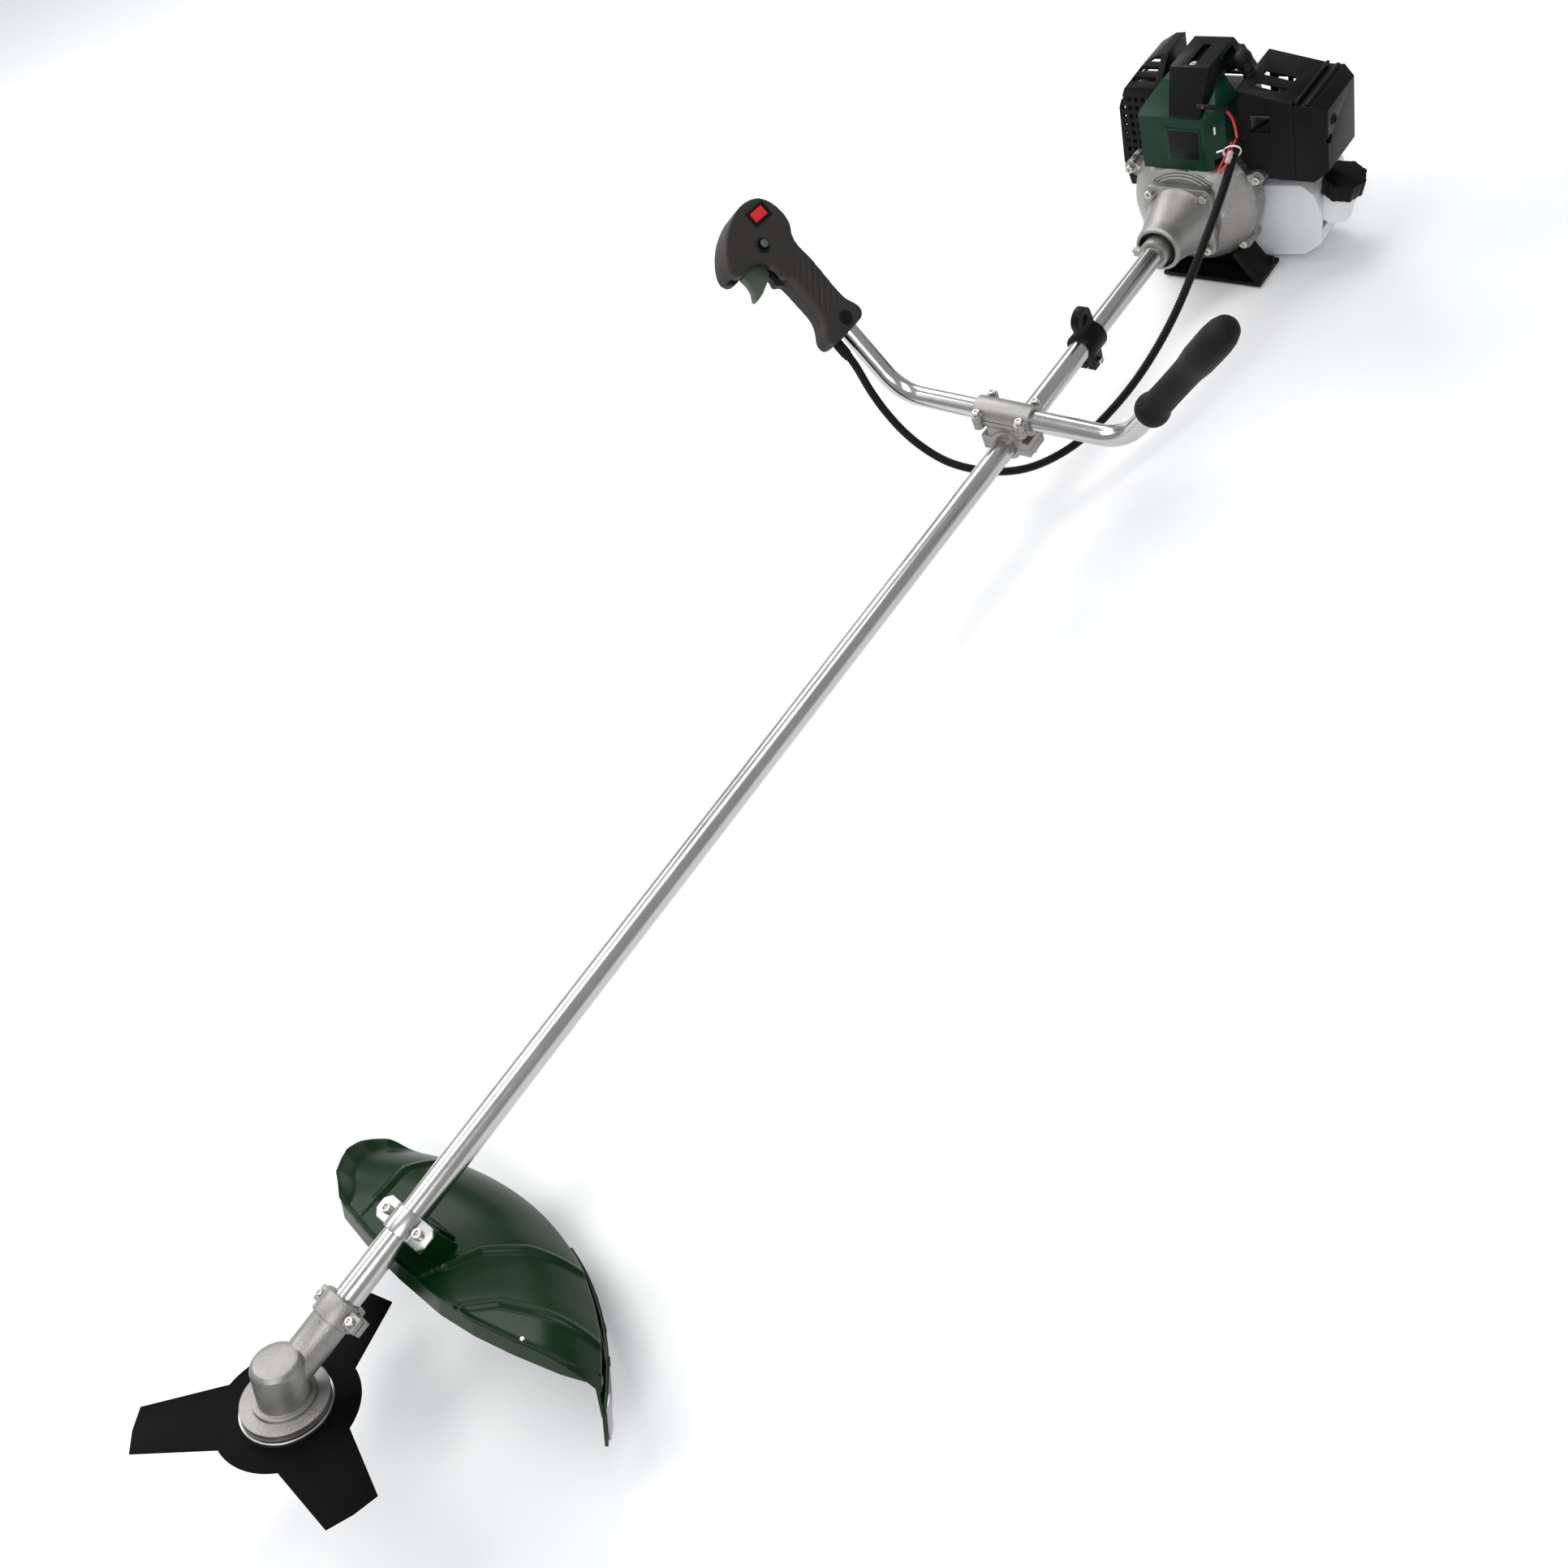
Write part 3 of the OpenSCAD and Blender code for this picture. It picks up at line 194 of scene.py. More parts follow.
LEVER = (0.06, 0.082, 0.062)
# Each edge colour given below paints the edges lighter: part wear, part painted highlight
FINISH = {
    "polished_tube": dict(colour=(0.52, 0.51, 0.495), rough=0.2, metal=1.0, vary=0.06, grain=420,
                          stretch=(0.02, 1, 1), spin=-LIE, bump=0.12, depth=0.0001, edge=0.1),
    "polished_bar": dict(colour=(0.52, 0.515, 0.505), rough=0.19, metal=1.0, vary=0.05, grain=300, bump=0.06,
                         depth=0.0001, edge=0.1),
    "steel": dict(colour=(0.52, 0.52, 0.53), rough=0.3, metal=1.0, grain=700, bump=0.15, depth=0.0001),
    "bearing_steel": dict(colour=(0.6, 0.61, 0.63), rough=0.2, metal=1.0, grain=500, bump=0.05, depth=0.0001),
    "cast_alloy": dict(colour=(0.31, 0.302, 0.288), rough=0.42, metal=0.9, vary=0.16, broad=32, grain=620,
                       bump=0.6, depth=0.0006, edge=0.3, worn=(0.5, 0.49, 0.47), radius=0.0016, spots=230),
    "disc_alloy": dict(colour=(0.46, 0.45, 0.43), rough=0.33, metal=1.0, vary=0.08, grain=500, bump=0.15,
                       depth=0.0001),
    "stamped_alloy": dict(colour=(0.43, 0.43, 0.425), rough=0.28, metal=1.0, vary=0.1, grain=600, bump=0.2,
                          depth=0.0002, edge=0.3),
    "blade_black": dict(colour=(0.0014, 0.0014, 0.0015), rough=0.5, vary=0.35, grain=800, bump=0.25,
                        depth=0.0002, edge=0.25, worn=(0.02, 0.02, 0.02), spots=90, Specular_IOR_Level=0.06),
    "guard_green": dict(colour=(0.0012, 0.019, 0.0028), rough=0.3, vary=0.35, broad=11, grain=600, bump=0.16,
                        depth=0.0004, edge=0.4, worn=(0.01, 0.07, 0.018), Specular_IOR_Level=0.15,
                        Coat_Weight=0.05, Coat_Roughness=0.14),
    "shroud_green": dict(colour=(0.0008, 0.028, 0.0135), rough=0.3, vary=0.25, broad=14, grain=900, bump=0.16,
                         depth=0.0003, edge=0.45, worn=(0.01, 0.08, 0.045), Specular_IOR_Level=0.15,
                         Coat_Weight=0.05, Coat_Roughness=0.2),
    "black_plastic": dict(colour=(0.0034, 0.0032, 0.003), rough=0.4, vary=0.35, broad=12, grain=900,
                          bump=0.22,
                          depth=0.0003, edge=0.4, worn=(0.024, 0.021, 0.018), Specular_IOR_Level=0.12),
    "grip_plastic": dict(colour=(0.03, 0.0268, 0.0242), rough=0.5, vary=0.18, grain=1500, cells=900, bump=0.5,
                         depth=0.0004, edge=0.25, worn=(0.06, 0.054, 0.048), Specular_IOR_Level=0.18),
    "grip_rubber": dict(colour=(0.0042, 0.004, 0.0039), rough=0.58, vary=0.3, grain=1300, cells=650,
                        bump=0.55, depth=0.0005, edge=0.2, Specular_IOR_Level=0.2),
    "lever_green": dict(colour=LEVER, rough=0.42, vary=0.12, grain=900, bump=0.2, edge=0.3),
    "switch_red": dict(colour=(0.62, 0.008, 0.02), rough=0.3, vary=0.06, grain=500, bump=0.04),
    "zinc_screws": dict(colour=(0.6, 0.585, 0.53), rough=0.27, metal=1.0, vary=0.15, broad=90, grain=900,
                        bump=0.2, depth=0.0001, edge=0.3),
    "loom_black": dict(colour=(0.0032, 0.0032, 0.0033), rough=0.42, vary=0.25, grain=900, bump=0.2, edge=0.2,
                       Specular_IOR_Level=0.14),
    "wire_red": dict(colour=(0.5, 0.012, 0.016), rough=0.35, vary=0.1, grain=900, bump=0.1),
    "rubber_black": dict(colour=(0.0045, 0.0043, 0.0042), rough=0.5, vary=0.25, grain=900, bump=0.35,
                         edge=0.25, Specular_IOR_Level=0.16),
    "friction_lining": dict(colour=(0.16, 0.11, 0.07), rough=0.8, vary=0.3, grain=900, bump=0.6,
                            depth=0.0006),
    "dark_steel": dict(colour=(0.055, 0.052, 0.05), rough=0.5, metal=0.8, vary=0.3, broad=40, grain=700,
                       bump=0.4),
    "ceramic_white": dict(colour=(0.8, 0.79, 0.75), rough=0.15, vary=0.04, grain=600, bump=0.05,
                          Coat_Weight=0.4),
    "tank_white": dict(colour=(0.72, 0.735, 0.75), rough=0.36, vary=0.035, broad=7, grain=500, bump=0.14,
                       depth=0.0004,
                       edge=0.12, worn=(0.92, 0.93, 0.92), Subsurface_Weight=0.45, Subsurface_Scale=0.012,
                       Subsurface_Radius=(1.0, 1.0, 0.95)),
    "hose_yellow": dict(colour=(0.75, 0.66, 0.02), rough=0.18, vary=0.08, grain=400, bump=0.03,
                        Transmission_Weight=0.35, IOR=1.45),
    "hose_clear": dict(colour=(0.78, 0.8, 0.74), rough=0.15, vary=0.05, grain=400, bump=0.03,
                       Transmission_Weight=0.6, IOR=1.45),
    "rope_white": dict(colour=(0.72, 0.7, 0.64), rough=0.85, vary=0.1, grain=1600, cells=1100, bump=0.8,
                       depth=0.0006),
    "knife_steel": dict(colour=(0.36, 0.36, 0.37), rough=0.34, metal=1.0, vary=0.15, grain=700, bump=0.2),
    "label_white": dict(colour=(0.78, 0.79, 0.8), rough=0.28, vary=0.02, grain=700, bump=0.06, depth=0.0002,
                        Coat_Weight=0.6, Coat_Roughness=0.08),
    "plate_dark": dict(colour=(0.0022, 0.0022, 0.0024), rough=0.22, vary=0.3, grain=500, bump=0.1,
                       Specular_IOR_Level=0.15),
    "tie_white": dict(colour=(0.78, 0.77, 0.72), rough=0.4, vary=0.05, grain=700, bump=0.1),
    "zinc_clip": dict(colour=(0.62, 0.62, 0.6), rough=0.3, metal=1.0, vary=0.1, grain=700, bump=0.1),
}
MATS = {name: pbr(name, **values) for name, values in FINISH.items()}
CAD_MAT = {s["node"]: s["material_slot"] for s in frame["record"]["subparts"]}
CAD_MAT["handlebar"] = "polished_bar"
for node_name, node_obj in NODES.items():
    for i in range(len(node_obj.material_slots)):
        node_obj.material_slots[i].material = MATS[CAD_MAT[node_name]]
    if not node_obj.material_slots:
        node_obj.data.materials.append(MATS[CAD_MAT[node_name]])


# ---------- making pieces ----------
def settle(obj, mat, body="frame", *nodes):
    """Gives a piece its finish and its body, and hides the CAD nodes that it stands for."""
    obj.data.materials.clear()
    obj.data.materials.append(MATS[mat])
    if body:
        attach(obj, body)
    if nodes:
        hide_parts(*nodes)
    return obj


def bake(obj):
    """Turns an object's modifiers into its mesh."""
    deps = bpy.context.evaluated_depsgraph_get()
    mesh = bpy.data.meshes.new_from_object(obj.evaluated_get(deps))
    obj.modifiers.clear()
    obj.data = mesh
    return obj


def finish_mesh(obj, bevel=0.0, segments=3, angle=28.0, solid=0.0, subdivide=0, crease=38.0):
    """Applies thickness, rounded edges and subdivision, then smooth shading."""
    if solid:
        mod = obj.modifiers.new("solid", "SOLIDIFY")
        mod.thickness, mod.offset = solid, -1
    if bevel:
        mod = obj.modifiers.new("bevel", "BEVEL")
        mod.width, mod.segments, mod.limit_method = bevel, segments, "ANGLE"
        mod.angle_limit = math.radians(angle)
        mod.use_clamp_overlap = True
    if subdivide:
        mod = obj.modifiers.new("smooth", "SUBSURF")
        mod.levels = mod.render_levels = subdivide
    bake(obj)
    obj.data.shade_smooth()
    obj.data.set_sharp_from_angle(angle=math.radians(crease))
    return obj


def mesh_object(name, verts, faces, place, up=None):
    """A mesh from points in a local frame; up turns an open surface's faces that way."""
    mesh = bpy.data.meshes.new(name)
    mesh.from_pydata([place @ Vector(v) for v in verts], [], faces)
    bm = bmesh.new()
    bm.from_mesh(mesh)
    bmesh.ops.recalc_face_normals(bm, faces=bm.faces)
    if up and sum((f.normal * f.calc_area() for f in bm.faces), Vector()).dot(up) < 0:
        bmesh.ops.reverse_faces(bm, faces=bm.faces)
    bm.to_mesh(mesh)
    bm.free()
    obj = bpy.data.objects.new(name, mesh)
    bpy.context.scene.collection.objects.link(obj)
    return obj


def rounded(name, mat, width, *nodes, body="frame", segments=3, angle=26.0, without=None):
    """A moulded or cast copy of CAD nodes with real rounded edges, width in millimetres."""
    bm = bmesh.new()
    for n in nodes:
        bm.from_mesh(NODES[n].data)
    if without:
        bmesh.ops.delete(bm, geom=[v for v in bm.verts if (v.co - without).length < 0.012], context="VERTS")
    bmesh.ops.remove_doubles(bm, verts=bm.verts, dist=3e-5)
    bmesh.ops.dissolve_limit(bm, angle_limit=math.radians(1.2), verts=bm.verts, edges=bm.edges)
    mesh = bpy.data.meshes.new(name)
    bm.to_mesh(mesh)
    bm.free()
    obj = bpy.data.objects.new(name, mesh)
    bpy.context.scene.collection.objects.link(obj)
    finish_mesh(obj, bevel=width * 0.001, segments=segments, angle=angle)
    return settle(obj, mat, body, *nodes)


def solid(points, height, place, name="tool"):
    """A straight solid from an outline in a local XY plane, height along local Z."""
    n = len(points)
    verts = [(x, y, 0) for x, y in points] + [(x, y, height) for x, y in points]
    faces = [list(range(n)), list(range(n, 2 * n))]
    faces += [[i, (i + 1) % n, n + (i + 1) % n, n + i] for i in range(n)]
    return mesh_object(name, verts, faces, place)


def circle(x, y, r, count=32):
    return [(x + r * math.cos(2 * math.pi * k / count),
             y + r * math.sin(2 * math.pi * k / count)) for k in range(count)]


def box(x0, x1, y0, y1):
    return [(x0, y0), (x1, y0), (x1, y1), (x0, y1)]


def cut(obj, *tools):
    """Takes the tools' space out of a piece and removes the tools."""
    for tool in tools:
        mod = obj.modifiers.new("cut", "BOOLEAN")
        mod.operation, mod.solver, mod.object = "DIFFERENCE", "EXACT", tool
    bake(obj)
    for tool in tools:
        bpy.data.objects.remove(tool)
    return obj


def melt(obj, voxel, rounds):
    """Flows a piece's edges and inner corners into soft moulded curves; voxel in millimetres."""
    mod = obj.modifiers.new("voxels", "REMESH")
    mod.mode, mod.voxel_size = "VOXEL", voxel * 0.001
    mod = obj.modifiers.new("flow", "SMOOTH")
    mod.factor, mod.iterations = 0.5, rounds
    return bake(obj)


def prism(name, mat, points, height, place, bevel=0.6, body="frame", segments=3):
    """A plate or block from an outline in a local XY plane, height along local Z."""
    return settle(finish_mesh(solid(points, height, place, name), bevel=bevel * 0.001, segments=segments), mat, body)


def block(name, mat, size, place, bevel=0.6, body="frame"):
    """A block with rounded edges, centred on a local frame."""
    x, y, z = (s / 2 for s in size)
    return prism(name, mat, [(-x, -y), (x, -y), (x, y), (-x, y)], size[2],
                 place @ Matrix.Translation((0, 0, -z)), bevel, body)


def lathe(name, mat, profile, place, body="frame", sides=48, crease=32.0, wobble=None):
    """A turned piece about local Z from (radius, height) points.

    wobble(angle, radius, height) gives the radius at that angle."""
    verts, faces = [], []
    for r, h in profile:
        for k in range(sides):
            a = 2 * math.pi * k / sides
            q = wobble(a, r, h) if wobble else r
            verts.append((q * math.cos(a), q * math.sin(a), h))
    for i in range(len(profile) - 1):
        for k in range(sides):
            j = (k + 1) % sides
            faces.append([i * sides + k, i * sides + j, (i + 1) * sides + j, (i + 1) * sides + k])
    for i in (0, len(profile) - 1):
        if profile[i][0] > 0.01:
            faces.append([i * sides + k for k in range(sides)])
    obj = mesh_object(name, verts, faces, place)
    bm = bmesh.new()
    bm.from_mesh(obj.data)
    bmesh.ops.remove_doubles(bm, verts=bm.verts, dist=1e-6)
    bm.to_mesh(obj.data)
    bm.free()
    return settle(finish_mesh(obj, crease=crease), mat, body)


def spline(points, step):
    """Points every step along a smooth curve through the given ones."""
    pts = [Vector(p) for p in points]
    ends = [2 * pts[0] - pts[1]] + pts + [2 * pts[-1] - pts[-2]]
    dense = []
    for i in range(1, len(ends) - 2):
        a, b, c, d = ends[i - 1:i + 3]
        for k in range(24):
            t = k / 24
            dense.append(0.5 * (2 * b + (c - a) * t + (2 * a - 5 * b + 4 * c - d) * t ** 2
                                + (3 * b - a - 3 * c + d) * t ** 3))
    dense.append(pts[-1])
    total = sum((q - p).length for p, q in zip(dense, dense[1:]))
    count = max(2, round(total / step))
    out, walked, i = [dense[0]], 0.0, 0
    for k in range(1, count):
        want = total * k / count
        while walked + (dense[i + 1] - dense[i]).length < want:
            walked += (dense[i + 1] - dense[i]).length
            i += 1
        seg = dense[i + 1] - dense[i]
        out.append(dense[i] + seg * ((want - walked) / seg.length))
    out.append(dense[-1])
    return out


def sweep(name, mat, path, radius, place=ROW, sides=16, body="frame", oval=1.0, up=None, crease=50.0):
    """A tube along a path; radius is a number or a function of the share of the length."""
    path = [Vector(p) for p in path]
    verts, faces, n = [], [], len(path)
    side = None
    for i, p in enumerate(path):
        t = (path[min(i + 1, n - 1)] - path[max(i - 1, 0)]).normalized()
        if side is None:
            ref = Vector(up) if up else Vector((0, 0, 1)) if abs(t.z) < 0.9 else Vector((0, 1, 0))
            side = ref.cross(t).normalized()
        side = (side - t * side.dot(t)).normalized()
        other = t.cross(side)
        r = radius(i / (n - 1)) if callable(radius) else radius
        for k in range(sides):
            a = 2 * math.pi * k / sides
            verts.append(p + side * (r * oval * math.cos(a)) + other * (r * math.sin(a)))
    for i in range(n - 1):
        for k in range(sides):
            j = (k + 1) % sides
            faces.append([i * sides + k, i * sides + j, (i + 1) * sides + j, (i + 1) * sides + k])
    faces += [list(range(sides)), list(range((n - 1) * sides, n * sides))]
    return settle(finish_mesh(mesh_object(name, verts, faces, place), crease=crease), mat, body)


# ---------- cords ----------
loom_route = [
    (1182.5, 206, 110), (1181.5, 196, 99), (1178, 182, 82), (1170, 164, 57), (1166, 147, 32), (1164, 126, 7),
    (1165, 103, -14), (1169, 78, -31), (1176, 50, -41), (1187, 20, -47), (1204, -6, -50),
    (1228, -28, -49), (1258, -46, -45), (1294, -60, -37), (1334, -72, -25), (1376, -81, -8),
    (1420, -87, 14), (1464, -89, 39), (1506, -88, 60), (1546, -85, 78), (1582, -80, 93),
    (1604, -76, 101)]
wire_route = [(1604, -76, 106), (1611, -71, 113), (1614, -66, 124), (1611, -60, 134), (1604, -50, 141),
              (1601, -38, 143)]
cable_route = [(1605.4, -80.4, 101.6), (1617, -84, 104), (1629, -86.6, 103.6), (1641, -87.6, 100.6),
               (1651.4, -87.8, 97)]

loom_line = spline(loom_route, 0.75)
ring = [5.0, 5.0, 4.4, 4.4]
steps = len(loom_line) - 1
loom = sweep("loom_sleeve", "loom_black", loom_line, lambda s: ring[round(s * steps) % 4], sides=18,
             crease=25)
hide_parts("throttle_loom")
loom_path = [ROW @ p for p in spline(loom_route, 5)]


def flex(name, mat, route, radius):
    """A thin wire or cable as a curve of one spline."""
    pts = [ROW @ p for p in spline(route, 2)]
    curve = bpy.data.curves.new(name, "CURVE")
    curve.dimensions, curve.use_fill_caps = "3D", True
    curve.bevel_depth, curve.bevel_resolution = radius * 0.001, 4
    line = curve.splines.new("POLY")
    line.points.add(len(pts) - 1)
    for p, q in zip(line.points, pts):
        p.co = (*q, 1)
    obj = bpy.data.objects.new(name, curve)
    bpy.context.scene.collection.objects.link(obj)
    return settle(obj, mat), pts


wire, wire_pts = flex("switch_wire", "wire_red", wire_route, 1.5)
cable, cable_pts = flex("throttle_cable", "loom_black", cable_route, 2.5)
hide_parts("loom_tail")


TIE_AT = Vector((1592, -78.3, 96.8))
LOOM_WAY = Vector((0.93, 0.17, 0.34))
LOOM_LEFT = Vector((-0.217, 0.969, 0.118))
LOOM_OUT = Vector((-0.239, -0.41, 0.879))


def beside(along, left, out):
    """A point beside the loom at the tie: back along it, to its left and out from it."""
    return TIE_AT - LOOM_WAY * along + LOOM_LEFT * left + LOOM_OUT * out


turns = [math.radians(12 * k) for k in range(31)]
tie = sweep("zip_tie", "tie_white", [beside(0, 3 + 9.6 * math.cos(a), 1.5 + 9.6 * math.sin(a)) for a in turns],
            0.8, sides=8, oval=2.2)
tail_path = spline([beside(0, 12.4, 2.4), beside(1.5, 16, 3), beside(3, 20, 2.2)], 1)
tie_tail = sweep("zip_tie_tail", "tie_white", tail_path, 0.8, sides=8, oval=2.0)
collar_path = spline([(1182.5, 204, 107.6), (1180.6, 193.5, 96), (1179.6, 189.5, 91)], 1)
collar = sweep("loom_collar", "rubber_black", collar_path, lambda s: 6.9 if s < 0.8 else 6.0, sides=6, crease=30)
sleeve_path = spline([(1611.5, -61, 133), (1606, -52.5, 139.5), (1602.5, -44, 142.5), (1604, -31, 142)], 1)
sleeve = sweep("wire_sleeve", "rubber_black", sleeve_path, lambda s: 2.9 - 0.5 * abs(s - 0.5), sides=14)
bullet_path = spline([beside(4, 4.4, 7.4), beside(12, 4.6, 7.6), beside(20, 5.4, 7.4)], 0.8)
bullet = sweep("wire_connector", "hose_clear", bullet_path,
               lambda s: (1.2 if s < 0.08 or s > 0.92 else 3.2) + (0.5 if 0.45 < s < 0.55 else 0), sides=16)
loop_path = spline([beside(-11, 3, 6.4), beside(0, 4.2, 6.6), beside(11, 4.6, 7.5), beside(20, 5.4, 7.3),
                    beside(26, 7, 5.8), beside(29, 9.5, 4), beside(26.5, 11.8, 2.6), beside(19, 11, 1.8),
                    beside(9, 9.2, 1.8), beside(0, 7.6, 2.2), beside(-10, 6.4, 3.4)], 1)
loop = sweep("wire_loop", "wire_red", loop_path, 1.25, sides=10)

# ---------- castings, plates and mouldings with real rounded edges ----------
rounded("gear_case_cast", "cast_alloy", 1.6, "gear_case")
rounded("holder_disc", "disc_alloy", 0.8, "blade_holder", body="blade_unit")
rounded("cutter_blade", "blade_black", 0.4, "blade", body="blade_unit", segments=2)
rounded("blade_nut_set", "zinc_screws", 0.6, "blade_fasteners", body="blade_unit")
rounded("guard_rim_strip", "guard_green", 0.7, "guard_extension")
rounded("guard_strap", "stamped_alloy", 0.7, "guard_bracket")
rounded("trim_knife", "knife_steel", 0.4, "line_knife")
rounded("bar_clamp_base", "cast_alloy", 1.5, "bracket_base")
rounded("bar_clamp_body", "cast_alloy", 1.5, "bracket_body")
rounded("bar_clamp_cap", "cast_alloy", 1.5, "bracket_cap")
rounded("trigger_lever", "lever_green", 1.6, "throttle_trigger", body="trigger")
rounded("lockout_blade", "lever_green", 1.4, "lockout_lever", body="lockout")
rounded("latch_button", "black_plastic", 0.8, "lock_button", body="button")
rounded("rocker", "switch_red", 0.7, "stop_switch", body="switch")
rounded("harness_collar", "black_plastic", 1.2, "harness_clamp")
rounded("clutch_cone", "cast_alloy", 1.8, "clutch_case")
rounded("tube_clamp", "cast_alloy", 1.2, "tube_sleeve")
rounded("fan_case", "cast_alloy", 1.6, "fan_housing")
rounded("crank_case", "cast_alloy", 1.5, "crankcase")
rounded("boot", "rubber_black", 2.6, "plug_boot", segments=4)
rounded("engine_shroud", "shroud_green", 2.2, "shroud")
rounded("cap_cover", "black_plastic", 3.0, "top_cover", segments=4)
rounded("exhaust_guard", "black_plastic", 1.3, "muffler_cover")
rounded("filter_base", "black_plastic", 1.4, "filter_case")
rounded("filter_lid", "black_plastic", 2.2, "filter_cover")
rounded("choke_tab", "black_plastic", 1.0, "choke_lever", body="choke")
rounded("recoil_case", "black_plastic", 1.8, "starter_housing")
rounded("tank_shell", "tank_white", 5.0, "fuel_tank", segments=5)
rounded("cap_lobed", "black_plastic", 1.6, "fuel_cap", body="cap")
rounded("foot_frame", "black_plastic", 1.2, "engine_stand")

# ---------- guard ----------
MID = Vector((-20, -8))
GUARD_R = 282
EDGE = [(131, 99), (125, 46), (123, 0), (124, -60), (130, -100), (140, -140), (154, -185), (170, -222)]
WING = [(131, 99), (145, 126), (163, 143), (188, 151), (214, 149), (238, 134)]
RIBS = [[(150, -36), (183, -47), (213, -77), (238, -120)], [(132, -84), (156, -104), (176, -142),
                                                            (198, -192)],
        [(158, 78), (197, 90), (236, 80)]]
OUTLINE = EDGE[::-1] + WING[1:] + [(330, 110), (330, -222)]


def smooth(a, b, x):
    t = min(1, max(0, (x - a) / (b - a)))
    return t * t * (3 - 2 * t)


def near(p, line):
    """Distance from a point to a line of points, and the side that it lies on."""
    best, side = 1e9, 0
    for a, b in zip(line, line[1:]):
        a, b = Vector(a), Vector(b)
        along = b - a
        t = min(1, max(0, (p - a).dot(along) / along.length_squared))
        d = (p - a - along * t).length
        if d < best:
            best, side = d, along.x * (p.y - a.y) - along.y * (p.x - a.x)
    return best, side


def crossings(angle):
    ray, found = Vector((math.cos(angle), math.sin(angle))), []
    for a, b in zip(OUTLINE, OUTLINE[1:] + OUTLINE[:1]):
        a, e = Vector(a) - MID, Vector(b) - Vector(a)
        det = ray.x * -e.y + ray.y * e.x
        if abs(det) > 1e-9:
            t = (a.x * -e.y + a.y * e.x) / det
            q = (ray.x * a.y - ray.y * a.x) / det
            if 0 <= q <= 1 and t > 0:
                found.append(t)
    return min(found), min(GUARD_R, max(found))


def guard_height(p, r):
    """Height of the guard's top face over the blade's frame."""
    h = 42 - 24 * max(0, 1 - (GUARD_R - r) / 62) ** 2.5
    for line, tall, step in zip(RIBS, (4.6, 4.6, 4.0), (3.0, 3.0, 2.0)):
        d, side = near(p, line)
        h += tall * math.exp(-(d / 2.3) ** 2)
        h += step * (1 if side > 0 else 0) * math.exp(-(d / 26) ** 2) * smooth(0, 3, d)
    d, _ = near(p, WING)
    h += 13 * math.exp(-(d / 8.5) ** 2) * smooth(85, 112, p.y)
    d, _ = near(p, EDGE)
    return h + 2.4 * math.exp(-(d / 2.6) ** 2)


columns, verts = [], []
for k in range(221):
    angle = math.radians(-48.3 + 87.3 * k / 220)
    r0, r1 = crossings(angle)
    keep = smooth(34, 28, math.degrees(angle))
    ray = Vector((math.cos(angle), math.sin(angle)))
    column = []
    for q in range(78):
        r = r0 + (r1 - r0) * q / 77
        p = MID + ray * r
        column.append((p.x, p.y, guard_height(p, r)))
    top = column[0]
    column = [(top[0], top[1], h) for h in (22, 27, 33, 39)] + column
    end = column[-1]
    for q in range(1, 11):
        out = ray * (3 * q / 10 * keep)
        column.append((end[0] + out.x, end[1] + out.y, end[2] - (38 * keep + 9 * (1 - keep)) * q / 10))
    columns.append(column)
    verts += column
n = len(columns[0])
faces = [[i * n + j, i * n + j + 1, (i + 1) * n + j + 1,
          (i + 1) * n + j] for i in range(220) for j in range(n - 1)]
shell = mesh_object("guard_shell", verts, faces, HEAD, up=HEAD.to_3x3() @ Vector((0, 0, 1)))
settle(finish_mesh(shell, solid=0.003, crease=48), "guard_green", "frame", "guard")


def flat(base, y):
    """Turns an outline drawn in (x, z) onto the plane at y; height then runs towards -Y."""
    return base @ Matrix.Translation((0, y, 0)) @ Matrix.Rotation(math.radians(90), 4, "X")


prism("guard_saddle", "guard_green", [(147, -37), (174.5, -53), (174.5, -4), (147, -4)], 34, flat(ROW, 17),
      bevel=1.6)
for s in (-1, 1):
    prism("guard_saddle_wing_%d" % (s + 2), "guard_green", [(150, -39), (171, -50), (171, -1.4),
                                                            (150, -1.4)], 5,
          flat(ROW, s * 24 + 2.5), bevel=1.0)
prism("guard_saddle_pad", "guard_green", [(148, -5), (173.5, -5), (173.5, -0.6), (148, -0.6)], 66,
      flat(ROW, 33), bevel=1.2)
for k, angle in enumerate(range(-47, -16, 7)):
    place = HEAD @ Matrix.Translation((*MID, 0)) @ Matrix.Rotation(math.radians(angle), 4, "Z")
    block("rim_clip_%d" % k, "black_plastic", (3.6, 8.6, 3.4),
          place @ Matrix.Translation((GUARD_R + 5.4, 0, 0)), 0.5)
for k, (x, y) in enumerate(((146, -148), (150, 118))):
    lathe("edge_pin_%d" % k, "zinc_screws", [(0, 1.4), (1.6, 1.3), (2.4, 0.6), (2.6, 0)],
          HEAD @ Matrix.Translation((x, y, 43.5)), sides=20)

# ---------- throttle grip ----------
ARM = arm(1)
GRIP = [
    (17, 93.5), (22.5, 98), (24, 105), (21, 113), (16.5, 122), (14.5, 136), (14, 160), (13.6, 182), (12, 196),
    (12.5, 207), (16.5, 215.5), (21.5, 222), (24.8, 232), (24.5, 245), (20, 258), (11, 268), (-4, 273),
    (-22, 272.5), (-40, 267),
    (-56, 258.5), (-71, 246), (-80, 234), (-82, 226), (-78, 218.5), (-69, 216), (-58, 217.5), (-48, 216),
    (-39, 210), (-33, 202), (-29.5, 193), (-32, 186.5), (-28, 182.5), (-23, 180), (-22, 168), (-22, 150),
    (-22.5, 134),
    (-25, 124), (-31, 115), (-37.5, 107), (-39.5, 99), (-36, 93.5), (-28, 91.5), (-14, 92), (4, 92.5)]
outline = [(p.x, p.y) for p in spline([(x, z, 0) for x, z in GRIP + GRIP[:1]], 3)][:-1]
